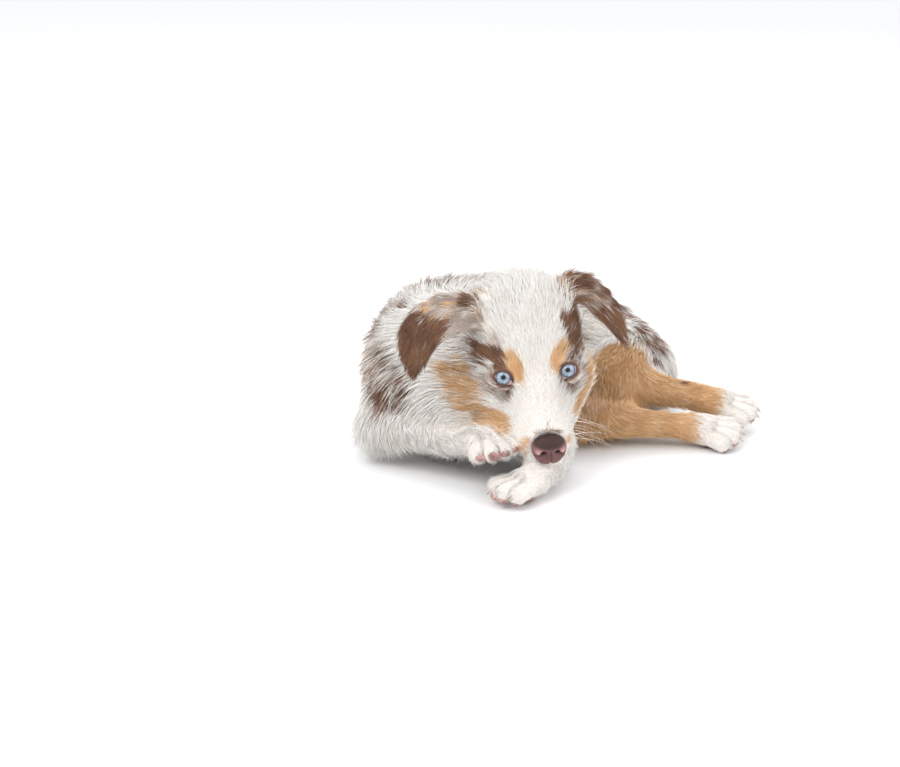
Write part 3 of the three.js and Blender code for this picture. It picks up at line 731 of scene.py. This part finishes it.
furColours = {
    "cream": (0.93, 0.905, 0.87, 1),
    "creamDeep": (0.84, 0.77, 0.69, 1),
    "tan": (0.64, 0.355, 0.155, 1),
    "tanPale": (0.86, 0.60, 0.35, 1),
    "brown": (0.115, 0.056, 0.036, 1),
    "brownPale": (0.34, 0.18, 0.105, 1),
    "grey": (0.34, 0.255, 0.205, 1),
    "greyPale": (0.66, 0.58, 0.52, 1),
    "pink": (0.68, 0.44, 0.38, 1),
}


def furMaterial(name, isSkin):
    m = Nodes(name)
    vary = m.value("shade") if not isSkin else m.noise(420.0, 2.0)
    colour = m.blend(vary, furColours["creamDeep"], furColours["cream"])
    colour = m.blend(0.6, colour, furColours["cream"])
    for paint in ("grey", "tan", "brown"):
        own = m.blend(vary, furColours[paint], furColours[paint + "Pale"])
        colour = m.blend(m.value(paint), colour, own)
    colour = m.blend(m.value("pink"), colour, furColours["pink"])
    if isSkin:
        # Dark lips and lid rims, with painted shade in the creases between the toes.
        colour = m.blend(m.value("darkLipRimCreaseShade"), colour, (0.07, 0.035, 0.03, 1))
        shaded = m.blend(1.0, colour, (0.80, 0.77, 0.75, 1), "MULTIPLY")
        m.set(Base_Color=shaded, Roughness=0.85, Specular_IOR_Level=0.2)
        m.bump(m.noise(900.0, 3.0), 0.5, 0.0008)
    else:
        rootShade = m.ramp(m.value("along"), [(0.0, (0.84, 0.82, 0.80, 1)), (0.5, (1, 1, 1, 1))])
        colour = m.blend(1.0, colour, rootShade, "MULTIPLY")
        m.set(Base_Color=colour, Roughness=0.62, Specular_IOR_Level=0.28)
    return m.material


skinMaterial = furMaterial("skinUnderCoat", True)
coatMaterial = furMaterial("coatHair", False)
skin.data.materials.clear()
skin.data.materials.append(skinMaterial)
skinPoints, skinNormals = placesOf(skin.data), normalsOf(skin.data)
skinWeights = coatAt(skinPoints, skinNormals)[0]
skinMarks = markings(skinPoints, skinNormals, skinWeights)
for mark, values in skinMarks.items():
    storeValues(skin.data, mark, values)
lipHead = toHeadMm(skinPoints)
darkLipRimAndCreaseShade = np.exp(-(((lipHead[:, 2] - lipHeight(lipHead[:, 0])) / 1.3) ** 2)) * smooth(6, 14, lipHead[:, 0])
darkLipRimAndCreaseShade *= skinWeights[:, 1:5].sum(axis=1) * 0.8
for eye in eyes.values():
    darkLipRimAndCreaseShade = np.maximum(darkLipRimAndCreaseShade, 0.8 * (1 - smooth(0.0009, 0.0021, lidDistance(eye, skinPoints))))
# Painted shade in the creases between the toes.
darkLipRimAndCreaseShade = np.maximum(darkLipRimAndCreaseShade, 0.8 * creaseAt(skinPoints))
storeValues(skin.data, "darkLipRimCreaseShade", darkLipRimAndCreaseShade)
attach(skin, "root")
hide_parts(*fleshNodes)


noseShape = {
    "middle": (56.5, 0.6, -24.0),
    "half": (9.5, 14.2, 12.0),
    "lean": 3.6,
    "nostrilAcross": 5.8,
    "nostrilUp": 2.2,
    "nostrilDeep": 4.6,
}

# The coat of tufts.
coat = {
    "seed": 11,
    "amount": 1.0,  # more or fewer hairs
    "jitter": 0.16,
    "lengthSpread": 0.28,
    "clumpEvery": 14,
    "clumpPull": 0.5,
    "earTuft": (-50, 38, 34),  # longer hair over the left ear's root, in the head's millimetres
    "patch": 0.003,  # each hair's patch on the skin's unwrap
    "rings": ((0.0, 1.0), (0.5, 0.8)),  # how far along a tuft each ring is, and its share of the width
    "mostHairs": 21500,  # in one piece
}


def scatterRoots(rng):
    mesh = skin.data
    mesh.calc_loop_triangles()
    count = len(mesh.loop_triangles)
    corners = np.empty(count * 3, np.int32)
    loops = np.empty(count * 3, np.int32)
    mesh.loop_triangles.foreach_get("vertices", corners)
    mesh.loop_triangles.foreach_get("loops", loops)
    corners, loops = corners.reshape(-1, 3), loops.reshape(-1, 3)
    uv = np.empty(len(mesh.loops) * 2, np.float32)
    mesh.uv_layers["OFBake"].uv.foreach_get("vector", uv)
    uv = uv.reshape(-1, 2)
    a, b, c = (skinPoints[corners[:, i]] for i in range(3))
    area = np.linalg.norm(np.cross(b - a, c - a), axis=1) / 2
    middle = (a + b + c) / 3
    facing = unit(np.cross(b - a, c - a))
    density = coatAt(middle, facing)[1][:, 4] * 1e4 * coat["amount"]
    density *= np.where((facing[:, 2] < -0.6) & (middle[:, 2] < 0.008), 0.0, 1.0)
    density *= np.where((facing[:, 2] < -0.3) & (middle[:, 2] < 0.03), 0.5, 1.0)
    wanted = area * density
    number = (wanted + rng.random(count)).astype(int)
    pick = np.repeat(np.arange(count), number)
    r1, r2 = np.sqrt(rng.random(len(pick))), rng.random(len(pick))
    shares = np.stack([1 - r1, r1 * (1 - r2), r1 * r2], axis=1)
    roots = (skinPoints[corners[pick]] * shares[:, :, None]).sum(axis=1)
    normals = unit((skinNormals[corners[pick]] * shares[:, :, None]).sum(axis=1))
    places = (uv[loops[pick]] * shares[:, :, None]).sum(axis=1)
    keep = np.ones(len(roots), bool)
    for eye in eyes.values():
        keep &= lidDistance(eye, roots) > 0.0009
    nose = toHeadMm(roots) - np.array(noseShape["middle"])
    keep &= np.linalg.norm(nose / np.array((9.5, 13.5, 12)), axis=1) > 1.0
    keep &= creaseAt(roots) < 0.6
    return roots[keep], normals[keep], places[keep]


def makeHairs(name, roots, normals, places, rng):
    count = len(roots)
    weights, numbers, lie = coatAt(roots, normals)
    length, width, lift = numbers[:, 1], numbers[:, 2], numbers[:, 3]
    inHead = toHeadMm(roots)
    nearEye = np.ones(count)
    for eye in eyes.values():
        nearEye = np.minimum(nearEye, smooth(0.0, 0.009, lidDistance(eye, roots)))
    length = length * (0.42 + 0.58 * nearEye)
    topOfHead = weights[:, 0] * smooth(-20, -75, inHead[:, 0])
    length = length * (1 + 0.35 * topOfHead)
    earTuft = np.exp(-((np.linalg.norm(inHead - np.array(coat["earTuft"]), axis=1) / 15) ** 2))
    length = length * (1 + 0.8 * earTuft)
    lift = lift * (1 + 0.7 * earTuft)
    length = length * (1 + coat["lengthSpread"] * rng.normal(size=count).clip(-1.8, 1.8))
    wave = (softNoise(roots, 0.02, 31) - 0.5) * 34 + (softNoise(roots, 0.009, 32) - 0.5) * 22
    spin = np.radians(wave)[:, None]
    across = unit(np.cross(normals, lie))
    heading = lie * np.cos(spin) + across * np.sin(spin)
    raised = np.radians(lift * (1 + 0.35 * rng.normal(size=count).clip(-1.5, 1.5)))[:, None]
    stray = rng.normal(size=(count, 3)) * coat["jitter"] * 0.5
    start = unit(heading * np.cos(raised) + normals * np.sin(raised) + stray)
    end = unit(heading + normals * 0.08 + rng.normal(size=(count, 3)) * coat["jitter"])
    end[:, 2] -= 0.12 * np.clip(length / 0.024, 0, 1)
    end = unit(end)
    base = roots - normals * 0.0006

    def line(t):
        return base + (start * (t - 0.5 * t * t) + end * 0.5 * t * t)[:, :] * length[:, None]

    tips = line(1.0)
    tree = KDTree(count // coat["clumpEvery"] + 1)
    heads = rng.choice(count, count // coat["clumpEvery"] + 1, replace=False)
    for i, h in enumerate(heads):
        tree.insert(Vector(roots[h]), i)
    tree.balance()
    nearest = heads[np.array([tree.find(Vector(p))[1] for p in roots])]
    pull = coat["clumpPull"] * (0.5 + 0.8 * rng.random(count)) * smooth(0.004, 0.02, length)
    shift = (tips[nearest] - tips) * pull[:, None]
    reach = np.linalg.norm(shift, axis=1, keepdims=True)
    shift *= np.minimum(1, 0.45 * length[:, None] / np.maximum(reach, 1e-6))

    stops, sizes = zip(*coat["rings"])
    rings = len(stops)
    side = unit(np.cross(start, normals))
    face = unit(np.cross(side, start))
    points = np.empty((count, rings * 3 + 1, 3))
    for ring, (t, size) in enumerate(zip(stops, sizes)):
        middle = line(t) + shift * (t * t)
        for k in range(3):
            angle = math.radians(90 + 120 * k)
            offset = side * math.cos(angle) * 0.5 + face * math.sin(angle) * 0.32
            points[:, ring * 3 + k] = middle + offset * (width * size)[:, None]
    points[:, -1] = tips + shift
    points[:, :, 2] = np.maximum(points[:, :, 2], 0.0004)

    first = np.arange(count)[:, None] * (rings * 3 + 1)
    quads = []
    for ring in range(rings - 1):
        for k in range(3):
            a, b = ring * 3 + k, ring * 3 + (k + 1) % 3
            quads.append(first + np.array([a, a + 3, b + 3, b]))
    last = (rings - 1) * 3
    triangles = [first + np.array([last + k, rings * 3, last + (k + 1) % 3]) for k in range(3)]
    quads, triangles = np.concatenate(quads), np.concatenate(triangles)
    mesh = meshFromArrays(name, points.reshape(-1, 3), triangles, quads)

    size = coat["patch"]
    patchUv = []
    rows = [size * t for t in stops]
    for ring in range(rings - 1):
        for k in range(3):
            x0, x1 = size * k / 3, size * (k + 1) / 3
            box = np.array([(x0, rows[ring]), (x0, rows[ring + 1]), (x1, rows[ring + 1]), (x1, rows[ring])])
            patchUv.append(places[:, None, :] + box)
    tipUv = []
    for k in range(3):
        x0, x1 = size * k / 3, size * (k + 1) / 3
        box = np.array([(x0, rows[rings - 1]), ((x0 + x1) / 2, size), (x1, rows[rings - 1])])
        tipUv.append(places[:, None, :] + box)
    flat = np.concatenate([np.concatenate(patchUv).reshape(-1, 2), np.concatenate(tipUv).reshape(-1, 2)])
    layer = mesh.uv_layers.new(name="OFBake")
    layer.uv.foreach_set("vector", np.clip(flat, 0, 1).astype(np.float32).ravel())

    marks = markings(roots, normals, weights)
    strand = 0.55 * rng.random(count) + 0.45 * smooth(0.25, 0.75, softNoise(roots, 0.0035, 41))
    lock = smooth(0.25, 0.75, softNoise(roots, 0.007, 42))
    for mark, values in marks.items():
        own = smooth(-0.05, 0.22, values - 0.06 - 0.86 * strand) * np.where(values > 0.02, 1, 0)
        storeValues(mesh, mark, np.repeat(own, rings * 3 + 1))
    shade = 0.5 * rng.random(count) + 0.5 * lock
    storeValues(mesh, "shade", np.repeat(shade, rings * 3 + 1))
    along = np.array([t for t in stops for k in range(3)] + [1.0])
    storeValues(mesh, "along", np.tile(along, count))
    piece = link(name, mesh, coatMaterial)
    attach(piece, "root")
    print(name, count, "hairs", len(triangles) + 2 * len(quads), "triangles")
    return piece


def makeCoat():
    rng = np.random.default_rng(coat["seed"])
    roots, normals, places = scatterRoots(rng)
    weights = coatAt(roots, normals)[0]
    onHead = weights[:, :7].sum(axis=1)
    legNames = [n for n in stretchNames if "aw" in n or "orearm" in n or "hank" in n]
    onLeg = weights[:, [column[n] for n in legNames]].sum(axis=1)
    kind = np.where(onHead > 0.5, 0, np.where(onLeg > 0.5, 2, 1))
    for number, label in enumerate(("head", "body", "leg")):
        mine = np.where(kind == number)[0]
        mine = mine[np.argsort(roots[mine, 0], kind="stable")]
        parts = max(1, math.ceil(len(mine) / coat["mostHairs"]))
        for i, chunk in enumerate(np.array_split(mine, parts)):
            makeHairs(f"{label}Coat_{i + 1}", roots[chunk], normals[chunk], places[chunk], rng)


makeCoat()

# The eyes: iris, pupil and the cornea's bulge.
eyeShape = {"iris": 0.0063, "pupil": 0.0019, "bulge": 0.0007}


def eyeMaterial():
    m = Nodes("blueEye")
    place = m.add("Attribute", {"attribute_name": "gazePlane"}).outputs["Vector"]
    split = m.add("SeparateXYZ", Vector=place)
    x, y = split.outputs[0], split.outputs[1]
    rho = m.math("SQRT", m.math("ADD", m.math("MULTIPLY", x, x), m.math("MULTIPLY", y, y)))
    around = {"X": m.math("DIVIDE", x, rho), "Y": m.math("DIVIDE", y, rho)}
    flat = m.add("CombineXYZ", Z=m.math("MULTIPLY", rho, 0.5), **around)
    streak = m.noise(5.5, 5.0, flat.outputs[0])
    iris = m.ramp(
        rho,
        [
            (0.0, (0.08, 0.12, 0.18, 1)),
            (0.34, (0.18, 0.235, 0.31, 1)),
            (0.62, (0.30, 0.36, 0.44, 1)),
            (0.84, (0.14, 0.185, 0.26, 1)),
            (0.95, (0.03, 0.045, 0.07, 1)),
        ],
    )
    rays = m.ramp(streak, [(0.36, (0.55, 0.58, 0.62, 1)), (0.62, (1.25, 1.2, 1.15, 1))])
    iris = m.blend(0.85, iris, m.blend(1.0, iris, rays, "MULTIPLY"))
    dark = m.math("LESS_THAN", rho, eyeShape["pupil"] / eyeShape["iris"])
    iris = m.blend(dark, iris, (0.003, 0.003, 0.004, 1))
    edge = m.ramp(rho, [(0.955, (0, 0, 0, 1)), (1.06, (1, 1, 1, 1))])
    veins = m.ramp(m.noise(520.0, 4.0), [(0.45, (0, 0, 0, 1)), (0.75, (1, 1, 1, 1))])
    white = m.blend(veins, (0.62, 0.50, 0.47, 1), (0.52, 0.27, 0.23, 1))
    m.set(Base_Color=m.blend(edge, iris, white), Roughness=0.18)
    m.set(Specular_IOR_Level=0.1, Coat_Weight=0.7, Coat_Roughness=0.03)
    return m.material


def makeEye(side, eye, material):
    bm = bmesh.new()
    bmesh.ops.create_uvsphere(bm, u_segments=72, v_segments=56, radius=pose["eyeRadius"])
    upward = unit(np.array((0, 0, 1.0)) - eye["gaze"][2] * eye["gaze"])
    across = np.cross(upward, eye["gaze"])
    frameOfEye = np.array([across, upward, eye["gaze"]])
    plane = []
    for v in bm.verts:
        x, y, z = v.co
        iris = eyeShape["iris"]
        rho = math.hypot(x, y) / iris
        plane.append((x / iris, y / iris, z / pose["eyeRadius"]) if z > 0 else (9.0, 9.0, -1.0))
        if z > 0 and rho < 1.1:
            v.co.z += eyeShape["bulge"] * (1 - (rho / 1.1) ** 2)
        v.co = Vector(eye["middle"] + np.array(v.co) @ frameOfEye)
    mesh = meshOf(bm, "eyeball_" + side)
    layer = mesh.attributes.new("gazePlane", "FLOAT_VECTOR", "POINT")
    layer.data.foreach_set("vector", np.array(plane, np.float32).ravel())
    piece = link("eyeball_" + side, mesh, material)
    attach(piece, "root")
    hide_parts("eye_" + side)


# A round tube along a line of points, tapered by its radii, closed at both ends or in a ring.
def tubeArrays(line, radii, sides, ring=False):
    line, radii = np.array(line), np.array(radii)
    count = len(line)
    ahead = np.roll(line, -1, axis=0) if ring else np.concatenate([line[1:], line[-1:] * 2 - line[-2:-1]])
    behind = np.roll(line, 1, axis=0) if ring else np.concatenate([line[:1] * 2 - line[1:2], line[:-1]])
    way = unit(ahead - behind)
    side = unit(np.cross(way, np.array((0.31, 0.17, 0.93))))
    other = np.cross(way, side)
    angles = np.linspace(0, 2 * math.pi, sides, endpoint=False)
    points = line[:, None] + radii[:, None, None] * (
        side[:, None] * np.cos(angles)[None, :, None] + other[:, None] * np.sin(angles)[None, :, None]
    )
    quads, triangles = [], []
    for i in range(count if ring else count - 1):
        j = (i + 1) % count
        for k in range(sides):
            n = (k + 1) % sides
            quads.append((i * sides + k, i * sides + n, j * sides + n, j * sides + k))
    points = points.reshape(-1, 3)
    if not ring:
        points = np.concatenate([points, line[:1], line[-1:]])
        first, last = count * sides, count * sides + 1
        for k in range(sides):
            n = (k + 1) % sides
            triangles.append((first, n, k))
            triangles.append((last, (count - 1) * sides + k, (count - 1) * sides + n))
    return points, np.array(triangles).reshape(-1, 3), np.array(quads).reshape(-1, 4)


def joinArrays(name, shapes, material):
    offset, points, triangles, quads = 0, [], [], []
    for p, t, q in shapes:
        points.append(p)
        triangles.append(t + offset)
        quads.append(q + offset)
        offset += len(p)
    mesh = meshFromArrays(name, np.concatenate(points), np.concatenate(triangles), np.concatenate(quads))
    return link(name, mesh, material)


def simpleMaterial(name, dark, light, scale, roughness, bumpDepth):
    m = Nodes(name)
    spread = m.noise(scale, 4.0)
    m.set(Base_Color=m.ramp(spread, [(0.35, dark), (0.68, light)]), Roughness=roughness)
    m.bump(m.noise(scale * 4, 3.0), 0.5, bumpDepth)
    return m.material


def makeLids(side, eye, material):
    angles = np.linspace(0, 2 * math.pi, 96, endpoint=False)
    reach = openingReach(eye, angles)
    ball = pose["eyeRadius"] + 0.0003
    depth = np.sqrt(np.maximum(ball**2 - reach**2, 0.0000012))
    line = (
        eye["middle"]
        + eye["inner"] * (reach * np.cos(angles))[:, None]
        + eye["up"] * (reach * np.sin(angles))[:, None]
        + eye["out"] * depth[:, None]
    )
    radii = 0.00066 + 0.0005 * np.clip(np.sin(angles + 0.3), 0, 1)
    piece = joinArrays("lidRim_" + side, [tubeArrays(line, radii, 8, ring=True)], material)
    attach(piece, "root")


def makeTearCorner(side, eye, material):
    angle = math.radians(eye["corner"])
    reach = openingReach(eye, np.array([angle]))[0] - 0.0011
    out = math.sqrt(pose["eyeRadius"] ** 2 - min(reach, 0.0088) ** 2)
    middle = eye["middle"] + eye["inner"] * reach * math.cos(angle) + eye["up"] * reach * math.sin(angle)
    middle = middle + eye["out"] * (out - 0.0004)
    bm = bmesh.new()
    bmesh.ops.create_icosphere(bm, subdivisions=3, radius=0.0014)
    bmesh.ops.translate(bm, verts=bm.verts, vec=Vector(middle))
    mesh = meshOf(bm, "tearCorner_" + side)
    piece = link("tearCorner_" + side, mesh, material)
    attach(piece, "root")


lidMaterial = simpleMaterial("lidSkin", (0.045, 0.018, 0.014, 1), (0.10, 0.04, 0.03, 1), 700.0, 0.4, 0.0001)
tearMaterial = simpleMaterial("tearSkin", (0.42, 0.13, 0.11, 1), (0.55, 0.24, 0.2, 1), 600.0, 0.25, 0.0001)
irisMaterial = eyeMaterial()
for side, eye in eyes.items():
    makeEye(side, eye, irisMaterial)
    makeLids(side, eye, lidMaterial)
    makeTearCorner(side, eye, tearMaterial)
print("eyes made")


def noseMaterial():
    m = Nodes("noseLeather")
    spread = m.noise(130.0, 4.0)
    top = m.value("top")
    low = m.ramp(spread, [(0.3, (0.10, 0.042, 0.040, 1)), (0.7, (0.19, 0.088, 0.084, 1))])
    colour = m.blend(top, low, (0.034, 0.014, 0.010, 1))
    # Painted pink highlight on the nostril wings.
    colour = m.blend(m.value("wingBulgeAndPaintedHighlight"), colour, (0.50, 0.27, 0.26, 1))
    # Painted shade inside the nostrils.
    colour = m.blend(m.value("nostrilHoleAndShade"), colour, (0.012, 0.006, 0.006, 1))
    cells = m.add("TexVoronoi", {"feature": "DISTANCE_TO_EDGE"}, Scale=1050.0)
    m.feed(cells.inputs["Vector"], m.place())
    m.set(Base_Color=colour, Roughness=0.4, Specular_IOR_Level=0.3)
    m.bump(m.ramp(cells.outputs[0], [(0.0, (0, 0, 0, 1)), (0.12, (1, 1, 1, 1))]), 0.45, 0.0003)
    return m.material


def makeNose():
    bm = bmesh.new()
    bmesh.ops.create_uvsphere(bm, u_segments=128, v_segments=96, radius=1.0)
    bmesh.ops.rotate(bm, verts=bm.verts, matrix=Matrix.Rotation(math.pi / 2, 3, "Y"))
    mesh = meshOf(bm, "nosePad")
    p = placesOf(mesh)
    f, l, u = p.T
    square = (np.abs(f) ** 2.6 + np.abs(l) ** 2.5 + np.abs(u) ** 2.6) ** (-1 / 2.6)
    f, l, u = (p * square[:, None]).T
    half = noseShape["half"]
    narrow = 1 - 0.26 * smooth(0.1, -1.0, u) - 0.08 * smooth(0.3, 1.0, u)
    fMm, lMm, uMm = f * half[0], l * half[1] * narrow, u * half[2]
    fMm = fMm - noseShape["lean"] * (u + 0.1) * smooth(-0.5, 0.5, f) - 3.0 * smooth(-0.55, -1.0, u) * (f > 0)
    front = smooth(0.0, 0.6, f)
    across = np.abs(lMm)
    out, rise = noseShape["nostrilAcross"], noseShape["nostrilUp"]
    nostrilHoleAndShade = np.exp(-(((across - out) / 2.3) ** 2 + ((uMm - rise) / 2.0) ** 2))
    slit = np.exp(-(((across - out - 3.8) / 3.0) ** 2 + ((uMm - rise + 2.4) / 1.2) ** 2))
    hollow = np.clip(nostrilHoleAndShade * 1.25 + slit * 0.75, 0, 1) * front
    # The wings bulge out, and the same mask carries their painted highlight.
    wingBulgeAndPaintedHighlight = np.exp(-(((across - out - 3.8) / 2.8) ** 2 + ((uMm - rise - 1.4) / 2.2) ** 2))
    wingBulgeAndPaintedHighlight = wingBulgeAndPaintedHighlight * smooth(-0.3, 0.3, f)
    groove = np.exp(-((lMm / 0.85) ** 2)) * (1 - smooth(rise, rise + 3, uMm)) * front
    fMm = fMm - hollow * noseShape["nostrilDeep"] + wingBulgeAndPaintedHighlight * 1.0 - groove * 1.2
    head = np.stack([fMm, lMm, uMm], axis=1) + np.array(noseShape["middle"])
    putPlaces(mesh, brow + head @ headAxes / 1000)
    # Painted shade in the nostril hollows.
    storeValues(mesh, "nostrilHoleAndShade", smooth(0.45, 0.85, hollow))
    storeValues(mesh, "wingBulgeAndPaintedHighlight", np.clip(wingBulgeAndPaintedHighlight * 1.1, 0, 1) * (1 - smooth(0.3, 0.6, hollow)))
    storeValues(mesh, "top", smooth(0.42, 0.66, u) * 0.97)
    piece = link("nosePad", mesh, noseMaterial())
    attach(piece, "root")
    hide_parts("nose")


makeNose()

# Claws and pads.
clawShape = {"length": 0.0078, "radius": 0.0016, "drop": 0.0040}
padShape = {"curl": 1.0, "palm": (0.009, 0.011, 0.0045)}  # curl 1 shows the pads at the front


def makeToes():
    claws, pads = [], []
    for toe in toes:
        forward, _, up = feet[toe["foot"]]["axes"]
        curled = padShape["curl"] if toe["foot"] == "foreRight" else 0.0
        line, radii = [], []
        for t in np.linspace(0, 1, 8):
            drop = clawShape["drop"] * t * t
            ahead = 0.0035 + clawShape["length"] * (1 - 0.55 * curled) * t
            out = toe["tip"] + forward * ahead + up * (0.0018 + 0.002 * curled - drop)
            line.append(np.array((out[0], out[1], max(out[2], 0.002))))
            radii.append(clawShape["radius"] * (1 - 0.9 * t**1.6))
        claws.append(tubeArrays(line, radii, 10))
        size = 1.2 if abs(toe["place"]) < 1 else 1.0
        middle = toe["tip"] + forward * (0.0018 + 0.0036 * curled) - up * (0.0044 - 0.0044 * curled)
        size *= 1 - curled * (0.05 if toe["place"] < 0 else 0.25)
        pads.append((middle, np.array((0.0046, 0.0044, 0.0036)) * size, feet[toe["foot"]]["axes"]))
    for foot in feet.values():
        forward, _, up = foot["axes"]
        middle = np.array(foot["paw"]) + forward * 0.003 - up * 0.0095
        pads.append((middle, padShape["palm"], foot["axes"]))
    dark, light = (0.30, 0.17, 0.13, 1), (0.58, 0.42, 0.34, 1)
    clawMaterial = simpleMaterial("clawHorn", dark, light, 260.0, 0.34, 0.0001)
    piece = joinArrays("claws", claws, clawMaterial)
    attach(piece, "root")
    bm = bmesh.new()
    for middle, half, axes in pads:
        made = bmesh.ops.create_icosphere(bm, subdivisions=3, radius=1.0)["verts"]
        for v in made:
            q = np.array(v.co) * np.array(half) @ np.array(axes) + middle
            v.co = Vector((q[0], q[1], max(q[2], 0.0005)))
    mesh = meshOf(bm, "toePads")
    dark, light = (0.10, 0.045, 0.05, 1), (0.52, 0.29, 0.25, 1)
    padMaterial = simpleMaterial("padLeather", dark, light, 95.0, 0.6, 0.0003)
    piece = link("toePads", mesh, padMaterial)
    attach(piece, "root")


makeToes()

# Whiskers.
whiskers = {"perSide": 10, "length": 0.036, "radius": 0.00017, "droop": 0.28}


def makeWhiskers():
    rng = np.random.default_rng(5)
    faces = [tuple(face.vertices) for face in skin.data.polygons]
    surface = BVHTree.FromPolygons([Vector(p) for p in skinPoints], faces)
    shapes = []
    for side in (-1, 1):
        for i in range(whiskers["perSide"]):
            aim = headPoint(42 - 5 * (i % 4), side * 20, -26 - 3.5 * (i // 4))
            root = surface.find_nearest(Vector(aim))[0]
            way = unit(np.array([0.05, side * 1.0, -0.25]) @ headAxes + rng.normal(size=3) * 0.16)
            length = whiskers["length"] * (0.6 + 0.6 * rng.random())
            ts = np.linspace(0, 1, 9)
            droop = np.array((0, 0, -1.0)) * length * whiskers["droop"]
            line = [np.array(root) + way * length * t + droop * t * t for t in ts]
            line = [np.array((q[0], q[1], max(q[2], 0.001))) for q in line]
            shapes.append(tubeArrays(line, whiskers["radius"] * (1 - 0.85 * ts), 5))
    material = simpleMaterial("whiskerHair", (0.75, 0.68, 0.6, 1), (0.9, 0.86, 0.8, 1), 90.0, 0.35, 0.00002)
    piece = joinArrays("whiskers", shapes, material)
    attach(piece, "root")


makeWhiskers()
print("nose, toes and whiskers made")

# Floor, light and camera.
studio = {"floor": (0.86, 0.855, 0.85, 1), "sky": (0.95, 0.97, 1.0, 1), "skyStrength": 1.12}
view = {"aim": (-0.095, -0.0662, 0.0722), "elevation": 17.0, "distance": 1.7, "lens": 81.8}


def makeStudio():
    bm = bmesh.new()
    bmesh.ops.create_grid(bm, x_segments=1, y_segments=1, size=6.0)
    mesh = meshOf(bm, "floor")
    m = Nodes("paleFloor")
    grain = m.noise(60.0, 2.0)
    low = tuple(c * 0.985 for c in studio["floor"][:3]) + (1,)
    m.set(Base_Color=m.ramp(grain, [(0.3, low), (0.7, studio["floor"])]), Roughness=0.7)
    floor = link("floor", mesh, m.material, smoothFaces=False)

    world = bpy.data.worlds.new("studioSky")
    world.use_nodes = True
    world.node_tree.nodes["Background"].inputs[0].default_value = studio["sky"]
    world.node_tree.nodes["Background"].inputs[1].default_value = studio["skyStrength"]
    bpy.context.scene.world = world
    for name, place, size, power in (
        ("keyLight", (-1.1, -1.3, 1.7), 1.3, 30.0),
        ("fillLight", (1.5, -0.9, 1.0), 1.6, 12.0),
        ("backLight", (0.3, 1.6, 1.5), 1.4, 14.0),
    ):
        light = bpy.data.lights.new(name, "AREA")
        light.size = size
        light.energy = power
        lamp = bpy.data.objects.new(name, light)
        bpy.context.scene.collection.objects.link(lamp)
        lamp.location = place
        lamp.rotation_euler = (Vector((0, 0, 0.06)) - Vector(place)).to_track_quat("-Z", "Y").to_euler()

    camera = bpy.data.cameras.new("camera")
    camera.lens = view["lens"]
    camera.sensor_width = 36.0
    holder = bpy.data.objects.new("camera", camera)
    bpy.context.scene.collection.objects.link(holder)
    tilt = math.radians(view["elevation"])
    ahead = Vector((0, math.cos(tilt), -math.sin(tilt)))
    holder.location = Vector(view["aim"]) - ahead * view["distance"]
    holder.rotation_euler = ahead.to_track_quat("-Z", "Y").to_euler()
    bpy.context.scene.camera = holder
    bpy.context.scene.view_settings.view_transform = "Standard"


makeStudio()
